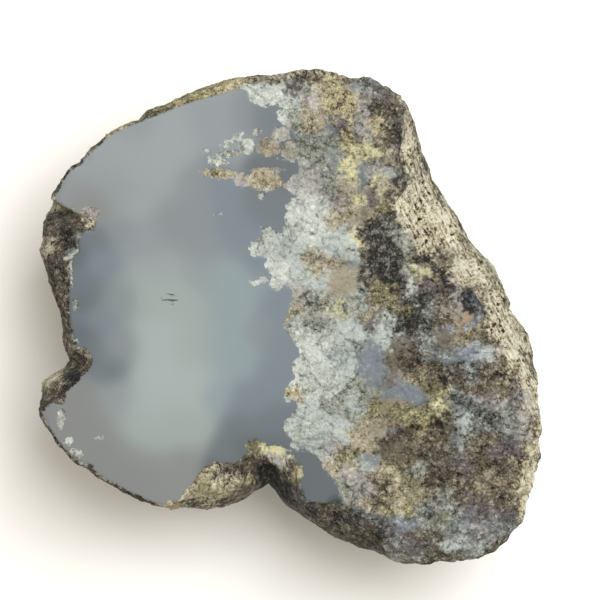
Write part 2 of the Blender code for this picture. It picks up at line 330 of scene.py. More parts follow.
# Spots of mineral in the chalcedony. A patch is a row of numbers: pixel across,
# pixel down, half length, half width and the turn in degrees, which is left out where it is 0
ISLAND_PIXELS = [
    (229, 142, 13, 3, -35), (205, 150, 3, 2), (217, 161, 10, 4), (226, 154, 16, 3, -12),
    (222, 173, 19, 5, 4), (239, 180, 8, 5, 20), (263, 179, 18, 12), (261, 194, 3, 4), (247, 146, 8, 8),
    (268, 147, 12, 9), (281, 134, 9, 8), (256, 132, 5, 3), (290, 150, 11, 11), (288, 158, 11, 1.5, 4),
    (275, 170, 8, 4), (251, 283, 3, 2), (258, 281, 4, 2.5), (264, 279, 3, 3), (110, 130, 17, 2.6, -36),
    (137, 115, 18, 3, -30), (165, 102, 18, 3.4, -24), (195, 92, 20, 4.4, -22), (225, 82, 16, 4.6, -18),
    (252, 77, 18, 5, -12), (75, 235, 5, 6), (73, 246, 2.6, 9, 10), (69, 258, 2, 8, 6),
    (70, 275, 1.6, 12, 2), (75, 304, 3, 4), (68, 331, 5, 3, -20), (75, 341, 3, 3), (79, 357, 13, 11),
    (68, 374, 14, 10, -20), (55, 393, 10, 9), (60, 400, 5, 5), (60, 418, 4, 9), (68, 441, 4, 4),
    (75, 453, 7, 5, 30), (86, 465, 7, 3.5, 30), (99, 477, 3, 2.4), (113, 485, 4, 2.6, 20),
    (130, 495, 11, 2.4, 16), (89, 214, 9, 8), (78, 222, 9, 9), (70, 213, 8, 5), (176, 504, 10, 4),
    (192, 492, 9, 8), (254, 444, 9, 6), (276, 451, 13, 5), (298, 470, 5, 7), (290, 462, 7, 9),
    (296, 487, 5, 14, -20), (315, 506, 20, 4), (216, 214, 3, 1), (100, 437, 3, 1), (226, 466, 18, 4),
]

# Windows of chalcedony among the crystal, as patches
POOL_PIXELS = [
    (252, 163, 9, 6), (272, 160, 10, 4), (290, 165, 7, 5), (279, 228, 5, 6),
]

# Where each tone of the chalcedony is purest, as (pixel across, pixel down, reach in pixels)
MILK_PIXELS = {
    Milk.PALE: [
        (164, 378, 22), (162, 335, 18), (186, 385, 20), (150, 408, 16),
    ],
    Milk.GREEN: [
        (160, 298, 22), (182, 300, 16), (192, 345, 20), (160, 428, 22), (140, 420, 14), (182, 425, 16),
    ],
    Milk.SILVER: [
        (140, 170, 24), (172, 138, 20), (138, 205, 12), (160, 270, 12),
    ],
    Milk.GREY: [
        (118, 190, 16), (208, 122, 18), (145, 240, 16), (200, 275, 16), (232, 145, 14), (140, 122, 14),
        (118, 400, 14),
    ],
    Milk.MIST: [
        (232, 305, 20), (222, 345, 18), (240, 360, 16), (225, 275, 14), (215, 395, 12),
    ],
    Milk.DOVE: [
        (172, 222, 16), (200, 212, 14), (205, 245, 14), (120, 232, 12), (260, 330, 12), (120, 300, 14),
        (118, 345, 14), (245, 120, 12), (195, 180, 12),
    ],
    Milk.BLUE: [
        (226, 212, 14), (240, 235, 16), (258, 255, 12), (276, 310, 14), (278, 340, 14), (270, 372, 14),
        (245, 400, 14), (100, 260, 12), (100, 320, 14), (222, 185, 12), (262, 395, 12), (215, 165, 10),
    ],
    Milk.SLATE: [
        (262, 205, 16), (98, 240, 10), (86, 290, 14), (90, 350, 12), (240, 425, 12), (268, 420, 14),
        (112, 368, 12), (225, 450, 10), (260, 120, 12),
    ],
    Milk.DEEP: [
        (245, 445, 12), (272, 448, 12), (84, 335, 12), (282, 165, 14), (256, 165, 10), (310, 482, 24),
        (215, 468, 10), (78, 254, 9), (84, 300, 9),
    ],
    Milk.WARM: [
        (84, 430, 22), (104, 455, 18), (126, 470, 16), (78, 402, 12), (150, 470, 16), (180, 462, 14),
        (98, 205, 12),
    ],
}

# The map of the minerals, seen from above: the patches in which each lies
MINERAL_PIXELS: dict[Mineral, list[tuple[float, ...]]] = {
    Mineral.FROST: [
        (256, 94, 13, 10), (276, 90, 7, 9), (293, 105, 12, 5), (283, 117, 6, 6), (247, 146, 5, 11),
        (229, 142, 13, 4, -35), (205, 150, 4, 3), (217, 160, 10, 4), (290, 157, 9, 1.5, 4),
        (305, 206, 17, 10), (294, 221, 10, 12), (316, 213, 12, 11), (310, 235, 14, 11), (268, 233, 9, 8),
        (256, 248, 8, 8), (275, 262, 12, 9), (281, 276, 12, 11), (369, 273, 4, 3), (308, 347, 11, 9),
        (330, 345, 12, 9), (304, 371, 11, 14), (325, 368, 13, 13), (307, 391, 9, 9), (307, 431, 17, 10),
        (75, 453, 7, 6), (68, 441, 4, 4), (59, 414, 4, 6), (258, 282, 10, 4), (260, 194, 4, 5),
        (74, 341, 4, 3), (288, 402, 6, 5), (476, 548, 6, 5), (383, 319, 6, 5), (407, 292, 4, 6),
        (420, 558, 4, 3), (328, 386, 12, 7), (316, 250, 7, 5), (322, 446, 8, 4), (354, 87, 4, 3),
        (392, 171, 4, 3), (483, 348, 7, 6, 20), (475, 552, 8, 5), (363, 463, 4, 3), (302, 324, 8, 7),
        (322, 334, 8, 5), (312, 366, 10, 10), (76, 246, 1.5, 6, 8), (72, 262, 1.5, 8, 4),
        (482, 352, 11, 7, 15),
    ],
    Mineral.ICE: [
        (331, 243, 15, 11), (295, 252, 9, 12), (345, 252, 6, 5), (299, 271, 8, 8), (315, 284, 12, 7),
        (384, 330, 11, 9), (350, 331, 20, 10), (385, 340, 10, 7, 20), (346, 366, 8, 12), (312, 412, 13, 9),
        (336, 431, 12, 11), (311, 444, 16, 8), (453, 545, 8, 6), (360, 296, 8, 4), (390, 174, 6, 5),
        (462, 532, 5, 8, 20), (354, 405, 6, 8), (463, 428, 3, 10), (474, 549, 9, 6),
    ],
    Mineral.AZURE: [
        (405, 526, 10, 4), (496, 521, 6, 4), (452, 331, 5, 4), (480, 350, 8, 7), (473, 325, 5, 6),
        (472, 352, 10, 7, -12),
    ],
    Mineral.PEARL: [
        (281, 134, 8, 8), (252, 134, 6, 4), (239, 181, 8, 6), (362, 123, 5, 14, 4), (302, 181, 16, 9, -14),
        (312, 97, 8, 7), (366, 134, 6, 6), (376, 167, 10, 6, 20), (295, 290, 8, 7), (366, 490, 7, 10),
        (60, 421, 4, 6), (99, 477, 3, 3), (216, 214, 3, 2), (100, 437, 3, 2), (322, 196, 8, 3, 40),
        (488, 530, 11, 9), (440, 502, 9, 7), (336, 178, 9, 3, 50), (352, 478, 12, 9), (520, 430, 7, 5),
        (396, 555, 4, 3), (480, 400, 9, 4, 20), (495, 402, 8, 4), (327, 446, 12, 6), (520, 418, 6, 5),
        (455, 291, 4.5, 14, -6), (524, 397, 7, 4, 70), (336, 206, 7, 6), (322, 312, 8, 5), (274, 460, 7, 4),
        (495, 540, 8, 5), (89, 213, 7, 8), (346, 203, 7, 6), (357, 493, 7, 6), (326, 140, 6, 6),
        (51, 205, 4, 6), (523, 400, 6, 7),
    ],
    Mineral.HAZE: [
        (370, 352, 13, 10, 20), (378, 372, 13, 11, 30), (399, 389, 22, 11, 20), (414, 402, 9, 8, 40),
        (334, 160, 7, 9), (362, 176, 5, 13), (452, 358, 10, 6), (398, 522, 12, 6), (494, 530, 5, 5),
        (445, 522, 7, 4), (352, 84, 7, 5), (340, 355, 6, 5), (470, 516, 5, 8), (434, 350, 6, 5),
        (366, 462, 5, 4), (330, 130, 4, 9), (386, 432, 7, 4), (283, 167, 6, 3), (384, 170, 4, 4),
        (345, 262, 4, 4), (456, 436, 5, 8), (473, 294, 5, 5), (482, 314, 4, 4),
    ],
    Mineral.SAGE: [
        (296, 116, 7, 8), (305, 142, 11, 13), (325, 140, 9, 10), (319, 158, 14, 9), (290, 151, 12, 7),
        (327, 174, 10, 6), (330, 187, 12, 8, 30), (226, 154, 14, 3, -12), (320, 305, 12, 9),
        (314, 327, 13, 9), (351, 389, 9, 12), (351, 416, 7, 10), (345, 486, 12, 9), (358, 345, 5, 8),
        (305, 90, 8, 7), (280, 73, 22, 4, -4), (400, 240, 8, 8), (415, 268, 7, 7, -40), (445, 502, 12, 12),
        (425, 470, 9, 8), (505, 415, 9, 6), (398, 232, 7, 6), (430, 525, 8, 6), (300, 312, 9, 7),
        (430, 334, 7, 4), (335, 404, 10, 7), (352, 306, 9, 8), (318, 262, 5, 3), (388, 558, 9, 4),
        (306, 149, 8, 7), (338, 160, 7, 14), (352, 185, 6, 4), (281, 278, 10, 7), (288, 330, 6, 7),
        (411, 480, 7, 7), (397, 118, 5, 5),
    ],
    Mineral.TAN: [
        (222, 173, 18, 6, 4), (263, 179, 17, 11), (352, 207, 8, 6), (333, 219, 7, 5), (378, 189, 12, 8),
        (312, 118, 12, 11), (316, 266, 12, 6), (335, 262, 10, 7), (297, 309, 10, 10), (415, 379, 10, 7, 20),
        (362, 441, 13, 10), (340, 468, 15, 8), (386, 476, 15, 11), (370, 156, 14, 4), (320, 93, 9, 10),
        (365, 503, 8, 7), (338, 180, 5, 9), (351, 188, 7, 10), (398, 495, 14, 12), (268, 148, 9, 8),
        (480, 325, 4, 5), (373, 421, 9, 6), (205, 476, 6, 8), (60, 290, 5, 12), (516, 330, 7, 12, 65),
        (346, 202, 9, 9), (316, 256, 9, 6), (370, 217, 7, 5), (512, 486, 8, 8), (340, 84, 8, 6),
        (516, 482, 9, 9), (344, 201, 8, 7),
    ],
    Mineral.CLAY: [
        (266, 147, 9, 7, -20), (343, 287, 14, 9, 8), (341, 273, 8, 9), (347, 187, 9, 6), (379, 431, 9, 9),
        (356, 216, 14, 9), (370, 317, 8, 4), (288, 150, 8, 6),
    ],
    Mineral.OCHRE: [
        (337, 79, 16, 7, 4), (340, 94, 13, 9), (340, 109, 12, 10), (349, 122, 8, 9), (378, 125, 6, 9),
        (346, 134, 8, 8), (349, 148, 9, 7), (349, 214, 11, 5), (290, 390, 7, 8), (389, 508, 9, 7),
        (110, 128, 17, 6, -36), (228, 80, 18, 6, -18), (255, 74, 16, 5, -10), (175, 505, 11, 6),
        (385, 160, 5, 6), (238, 494, 5, 5), (180, 95, 8, 4, -22), (200, 474, 9, 7), (470, 338, 11, 4),
        (458, 336, 4, 5), (208, 486, 11, 8), (228, 494, 10, 4), (196, 486, 8, 8), (241, 482, 5, 6),
        (206, 470, 9, 7), (196, 496, 10, 4),
    ],
    Mineral.LICHEN: [
        (388, 404, 10, 5), (412, 413, 14, 8), (370, 412, 8, 7), (408, 486, 12, 10), (440, 522, 8, 5),
        (437, 393, 9, 9), (400, 510, 12, 6), (395, 470, 9, 6), (352, 455, 7, 5), (420, 376, 8, 5),
        (160, 102, 26, 3.5, -24), (192, 91, 18, 4, -22), (421, 426, 8, 6), (254, 447, 8, 6),
        (404, 311, 7, 5), (418, 420, 9, 7), (402, 503, 9, 6), (384, 295, 15, 11), (214, 490, 8, 6),
        (405, 309, 7, 6), (431, 388, 7, 7), (385, 209, 6, 7), (434, 409, 6, 5), (258, 456, 8, 5),
    ],
    Mineral.SULPHUR: [
        (364, 146, 12, 3, 4), (376, 178, 3, 4), (356, 240, 4, 4), (336, 309, 6, 3, 20), (299, 471, 3, 6),
        (355, 153, 5, 4), (424, 417, 3, 2), (527, 492, 3, 7, 10), (353, 196, 5, 4), (421, 271, 9, 5, 30),
        (350, 165, 6, 11), (264, 449, 9, 3), (440, 400, 4, 4),
    ],
    Mineral.RUST: [
        (392, 424, 4, 3), (391, 401, 5, 3), (394, 508, 4, 3), (468, 344, 5, 2), (461, 318, 7, 8, -20),
        (426, 275, 6, 3.5, 30),
    ],
    Mineral.RUSSET: [
        (498, 485, 16, 14), (470, 341, 12, 5), (456, 334, 8, 6), (480, 462, 14, 8), (440, 437, 16, 5),
        (405, 458, 14, 7), (415, 440, 12, 6), (500, 392, 8, 8), (484, 395, 8, 5), (384, 380, 6, 8),
        (517, 373, 6, 9, 70), (510, 468, 8, 8),
    ],
    Mineral.PEAT: [
        (394, 352, 8, 12, 20), (391, 366, 7, 8), (398, 446, 14, 8), (437, 342, 7, 8), (361, 215, 9, 8),
        (262, 150, 8, 5), (443, 334, 7, 6),
    ],
    Mineral.MAUVE: [
        (291, 90, 8, 8), (335, 130, 5, 12), (386, 428, 7, 6), (372, 196, 6, 5), (426, 286, 7, 6),
        (480, 510, 20, 10), (455, 466, 20, 10), (415, 545, 22, 7), (382, 96, 10, 8), (285, 174, 5, 6),
        (405, 268, 5, 6), (396, 92, 10, 7, 30), (500, 450, 12, 8), (385, 528, 8, 6), (500, 517, 12, 8),
        (479, 537, 8, 7), (58, 222, 10, 7), (45, 238, 5, 6), (371, 322, 7, 6),
    ],
    Mineral.UMBER: [
        (313, 75, 9, 5), (262, 78, 16, 4, -10), (374, 106, 11, 9), (384, 112, 9, 7), (375, 140, 5, 5),
        (386, 150, 5, 6), (440, 317, 10, 8), (395, 441, 16, 8), (453, 428, 7, 9), (412, 452, 22, 9),
        (412, 362, 9, 12), (430, 371, 8, 12), (462, 381, 13, 10), (491, 371, 11, 15), (480, 441, 14, 12),
        (380, 488, 7, 6), (431, 486, 8, 10), (446, 473, 16, 14), (500, 470, 15, 14), (500, 500, 16, 13),
        (462, 491, 12, 10), (425, 540, 17, 8), (448, 553, 18, 4), (79, 357, 12, 11), (55, 393, 9, 9),
        (86, 465, 7, 4, 30), (113, 485, 5, 3, 20), (78, 223, 9, 9), (252, 445, 8, 6), (484, 318, 6, 9),
        (445, 455, 12, 10), (448, 262, 16, 6, 50), (240, 492, 14, 8, -30), (256, 462, 10, 12),
        (392, 96, 12, 8, 35), (325, 512, 20, 8, 30), (350, 535, 24, 8, 30), (380, 550, 16, 8, 20),
        (430, 563, 30, 5), (500, 548, 24, 8, -35), (68, 222, 14, 8), (62, 400, 10, 10), (47, 396, 8, 10),
        (385, 365, 5, 12, 20), (238, 468, 9, 8), (243, 455, 7, 7), (353, 78, 7, 5), (457, 346, 6, 4),
        (361, 250, 5, 6), (398, 108, 9, 7), (390, 140, 5, 8), (393, 165, 6, 7), (361, 273, 6, 6),
        (487, 342, 6, 6), (362, 532, 12, 5, 25), (296, 472, 4, 7), (455, 364, 7, 4), (446, 299, 8, 10),
        (438, 307, 7, 6), (389, 163, 7, 9), (377, 498, 8, 7), (312, 527, 10, 3, 30), (300, 516, 6, 3, 30),
        (288, 468, 5, 8), (534, 431, 6, 4, 90), (365, 296, 6, 6), (255, 447, 7, 7), (303, 520, 7, 8, 60),
    ],
    Mineral.ASH: [
        (357, 80, 9, 6), (382, 82, 14, 6, 20), (431, 333, 11, 7), (425, 312, 13, 12), (475, 405, 14, 8),
        (508, 428, 13, 7), (432, 510, 10, 7), (458, 516, 11, 7), (405, 521, 14, 7), (460, 533, 7, 9),
        (500, 532, 12, 9), (396, 546, 11, 6), (442, 350, 9, 6), (480, 425, 9, 5), (470, 549, 10, 7),
        (404, 98, 7, 8, 30), (448, 497, 8, 8), (332, 128, 5, 8), (450, 445, 5, 5), (516, 398, 8, 6),
        (367, 178, 4, 9), (448, 520, 6, 9, 40), (424, 345, 6, 8), (480, 303, 5, 8), (358, 132, 4, 8),
        (372, 160, 8, 4), (458, 397, 8, 5), (352, 556, 10, 4, 20), (303, 494, 8, 5), (362, 514, 8, 6),
        (472, 371, 8, 6),
    ],
    Mineral.MOSS: [
        (396, 150, 5, 12), (399, 172, 5, 10), (440, 280, 9, 16, -30), (416, 318, 12, 9), (405, 326, 9, 6),
        (414, 427, 4, 7, 30), (494, 416, 11, 6), (380, 531, 6, 8), (345, 521, 15, 6), (68, 374, 12, 9),
        (128, 494, 9, 4), (484, 308, 7, 10, 50), (64, 241, 9, 8), (268, 474, 12, 12), (310, 508, 12, 7, 30),
        (400, 118, 5, 10), (450, 375, 8, 6), (391, 188, 5, 8), (426, 264, 12, 4, 50), (424, 292, 6, 5),
        (432, 350, 7, 6), (382, 220, 6, 8), (480, 294, 9, 6, 40), (396, 127, 5, 14, 6), (286, 494, 7, 5),
        (361, 539, 10, 4, 20), (374, 233, 12, 11), (388, 251, 12, 11), (381, 267, 19, 12), (408, 300, 8, 8),
        (366, 284, 6, 10), (396, 286, 6, 6), (228, 505, 8, 2.5), (484, 366, 6, 5), (388, 313, 9, 5),
    ],
    Mineral.CREAM: [
        (444, 226, 28, 12, 60), (470, 270, 28, 11, 60), (500, 325, 26, 9, 62), (524, 380, 20, 6, 72),
        (48, 243, 6, 5), (50, 376, 9, 4, -20), (89, 214, 7, 8), (52, 206, 5, 6), (466, 286, 18, 3, 40),
        (402, 242, 5, 6), (522, 425, 8, 5, 80), (275, 71, 9, 4), (403, 208, 8, 14), (418, 228, 12, 12, 60),
        (398, 196, 4, 8), (508, 352, 6, 14, 62), (506, 370, 5, 9), (527, 404, 5, 9), (525, 488, 7, 14),
        (497, 300, 6, 14, 62), (425, 196, 22, 9, 62), (400, 102, 9, 2, 20), (528, 402, 8, 6, 80),
        (534, 446, 15, 4, 92), (531, 480, 12, 5, 100), (539, 425, 10, 3, 95), (409, 140, 24, 4, 80),
        (427, 231, 10, 10), (503, 306, 12, 8, 62), (416, 232, 8, 8), (204, 468, 8, 5, -30),
        (196, 498, 8, 3), (482, 325, 3, 3), (418, 242, 9, 6, 50), (425, 234, 10, 8), (526, 493, 6, 13),
        (409, 150, 14, 4, 80), (213, 482, 4, 3), (233, 484, 4, 3), (192, 488, 4, 3),
    ],
    Mineral.OLIVE: [
        (443, 176, 30, 5, 62), (472, 228, 32, 5, 60), (502, 286, 32, 6, 60), (530, 345, 24, 5, 68),
        (539, 402, 22, 4, 88), (200, 503, 20, 6), (290, 71, 20, 5, -4), (330, 71, 20, 4, 2),
        (476, 250, 22, 3, 60), (500, 305, 20, 3, 62), (432, 172, 16, 4, 70), (516, 352, 18, 4, 68),
        (414, 170, 12, 3, 80), (456, 246, 18, 3, 58), (372, 306, 9, 7), (388, 302, 8, 6),
        (470, 274, 8, 3, 60), (469, 270, 8, 5, 60), (188, 478, 10, 8), (406, 196, 4, 10), (535, 428, 6, 5),
        (449, 200, 10, 5, 60), (534, 466, 8, 5, 90), (411, 177, 7, 6),
    ],
    Mineral.BARK: [
        (56, 266, 9, 18), (62, 300, 8, 22), (66, 334, 6, 12), (44, 420, 6, 20), (60, 450, 20, 8, 45),
        (100, 484, 30, 6, 25), (45, 225, 6, 14), (60, 185, 6, 20, 20), (484, 352, 16, 4, 66),
        (428, 164, 12, 5, 66), (511, 398, 12, 3, 74), (90, 145, 20, 5, -45), (140, 108, 24, 3, -26),
        (424, 150, 20, 3.5, 68), (224, 474, 8, 6), (462, 266, 6, 4, 50), (463, 265, 8, 5, 50),
        (452, 254, 8, 3, 55), (521, 404, 5, 5), (462, 264, 8, 5, 50), (468, 270, 16, 8, 58),
        (411, 176, 7, 6), (471, 273, 6, 5), (412, 330, 7, 5),
    ],
    # Painted shade: black patches where the hollows, the notch and the pits lie in shadow
    Mineral.PIT_SHADE: [
        (62, 240, 6, 6), (412, 426, 2, 5, 30), (399, 222, 3, 10, -20), (372, 317, 5, 2), (493, 526, 3, 3),
        (484, 378, 4, 4), (263, 484, 11, 8), (436, 424, 3, 5), (465, 301, 5.5, 14, -14), (405, 184, 2.5, 4),
        (521, 408, 4, 4), (376, 258, 7, 8), (388, 272, 6, 6), (442, 281, 6, 4, 130), (424, 260, 8, 4, 145),
        (253, 461, 5, 6),
    ],
}

# The widest outline of the nodule and the edge of its sawn face, from the right side round by the far side
GIRTH = [
    (48.1, -20.8), (47.2, -16.4), (47.4, -11.3), (45.3, -2.9), (42.6, 1.4), (39.8, 8.2), (34.6, 15.2),
    (30.7, 22.0), (27.4, 26.6), (25.2, 32.3), (23.4, 38.7), (21.2, 42.4), (14.3, 46.1), (11.8, 45.8),
    (6.0, 47.2), (-3.0, 46.4), (-10.7, 45.7), (-18.7, 42.9), (-23.4, 40.6), (-27.4, 39.5), (-28.9, 37.6),
    (-34.7, 35.1), (-39.1, 30.9), (-40.7, 29.3), (-41.8, 29.0), (-44.1, 25.3), (-47.6, 18.4), (-47.6, 15.2),
    (-48.1, 12.9), (-46.3, 8.2), (-44.1, 1.0), (-43.4, -2.3), (-43.4, -5.6), (-42.5, -8.1), (-43.1, -9.4),
    (-45.2, -10.6), (-47.8, -12.5), (-47.8, -18.3), (-44.5, -24.1), (-39.0, -28.8), (-33.2, -32.6),
    (-26.0, -35.9), (-20.1, -36.8), (-16.1, -37.2), (-12.5, -36.6), (-9.2, -35.5), (-6.7, -33.7),
    (-4.2, -32.1), (-3.0, -33.2), (-1.3, -35.7), (4.2, -39.5), (9.6, -42.8), (13.9, -44.6), (17.6, -45.0),
    (19.4, -46.4), (21.6, -47.2), (26.0, -47.2), (29.2, -46.5), (36.1, -46.1), (41.6, -42.6), (42.3, -41.0),
    (44.5, -38.6), (45.6, -33.5), (47.4, -28.4), (47.6, -25.1),
]
RIM = [
    (47.6, -21.5), (46.8, -17.5), (44.3, -10.9), (42.1, -6.5), (39.0, -1.0), (36.7, 2.4), (34.3, 5.8),
    (30.8, 6.8), (25.9, 12.1), (21.5, 16.7), (20.4, 18.6), (20.2, 22.2), (22.5, 24.8), (22.7, 26.9),
    (20.6, 30.5), (21.3, 33.4), (21.3, 37.6), (22.3, 40.0), (18.1, 43.3), (15.3, 45.2), (11.5, 45.2),
    (7.7, 46.1), (-1.3, 45.6), (-7.5, 44.2), (-14.4, 42.3), (-24.6, 38.8), (-31.1, 36.4), (-34.5, 34.6),
    (-38.7, 30.5), (-42.7, 27.1), (-45.0, 22.4), (-43.6, 21.3), (-37.3, 18.2), (-37.4, 16.8), (-39.1, 16.6),
    (-40.4, 15.2), (-40.4, 12.5), (-41.5, 11.7), (-42.2, 3.2), (-41.5, -4.0), (-40.6, -6.3), (-38.5, -7.0),
    (-37.7, -8.1), (-38.2, -9.5), (-41.7, -13.4), (-45.2, -16.0), (-47.4, -17.9), (-47.2, -19.0),
    (-43.3, -24.9), (-38.3, -28.6), (-32.6, -32.3), (-25.6, -35.5), (-23.1, -36.1), (-21.6, -35.2),
    (-19.5, -33.1), (-17.8, -30.6), (-16.3, -28.7), (-14.0, -28.1), (-11.7, -28.7), (-9.6, -27.4),
    (-6.4, -23.6), (-4.9, -24.6), (-0.9, -25.1), (-0.7, -26.6), (1.0, -28.0), (1.4, -31.0), (3.1, -35.2),
    (8.8, -35.8), (14.0, -39.3), (17.0, -42.2), (20.6, -45.4), (25.9, -46.6), (33.1, -45.9), (38.6, -43.9),
    (41.9, -40.5), (44.5, -36.0), (44.9, -33.1), (46.8, -28.2), (47.0, -25.1),
]

# Where smooth chalcedony ends and gritty matrix begins on the face, from the far edge to the near one
MATRIX_EDGE = [
    (2.0, 46.9), (5.4, 37.4), (10.5, 31.7), (12.4, 22.2), (13.7, 14.6), (13.4, 7.0), (15.6, 3.2),
    (20.0, -1.6), (21.0, -6.3), (25.7, -10.1), (25.7, -15.8), (21.0, -17.7), (17.2, -21.5), (15.3, -27.2),
    (11.5, -31.0), (7.7, -34.8), (5.8, -38.6),
]

# Hollows and lumps, as (x, y, radius along x, radius along y, depth); a lump has a negative depth
FACE_HOLLOWS = [
    (34.2, 3.4, 2.8, 2.9, 2.8), (23.2, 8.5, 10.0, 6.2, 0.9), (18.7, 25.2, 2.2, 3.6, 1.0),
    (19.6, 36.0, 3.4, 4.4, 0.7), (21.2, 41.2, 2.8, 2.2, 0.9), (16.0, 21.5, 2.6, 2.2, 0.5),
    (27.5, -5.0, 3.6, 2.2, 0.5), (35.3, -9.2, 4.0, 2.0, 0.5), (43.0, -16.8, 2.0, 1.5, 0.9),
    (39.0, -18.5, 2.6, 1.6, 0.5), (23.6, -21.0, 2.0, 1.4, 0.8), (30.0, -29.5, 5.0, 2.2, 0.4),
    (45.0, -34.6, 2.4, 2.4, 1.6), (9.5, -41.0, 7.0, 3.4, 1.4), (21.5, -42.5, 4.0, 2.2, 0.5),
    (30.5, -15.0, 3.0, 2.2, -0.5), (12.6, 36.0, 3.2, 5.4, -0.5), (14.8, 27.0, 2.0, 4.4, -0.4),
    (27.0, 6.0, 2.2, 1.8, -0.6), (33.0, -25.0, 6.0, 4.0, -0.4),
]
SKIN_HOLLOWS = [
    (-43.2, 15.0, 3.0, 3.0, 1.3), (-5.2, -29.6, 3.2, 3.0, 2.6), (-40.6, -8.6, 2.2, 2.0, 1.0),
    (25.0, 30.0, 1.8, 3.0, 0.6), (41.8, 0.4, 2.2, 2.6, 0.6), (-14.6, -32.2, 2.8, 2.6, -1.1),
    (-9.6, -31.4, 2.2, 2.2, -0.9), (31.8, 14.0, 3.0, 4.0, -0.8), (-45.4, 19.0, 1.6, 1.6, -0.5),
    (-45.6, -13.4, 1.8, 1.6, -0.5),
]


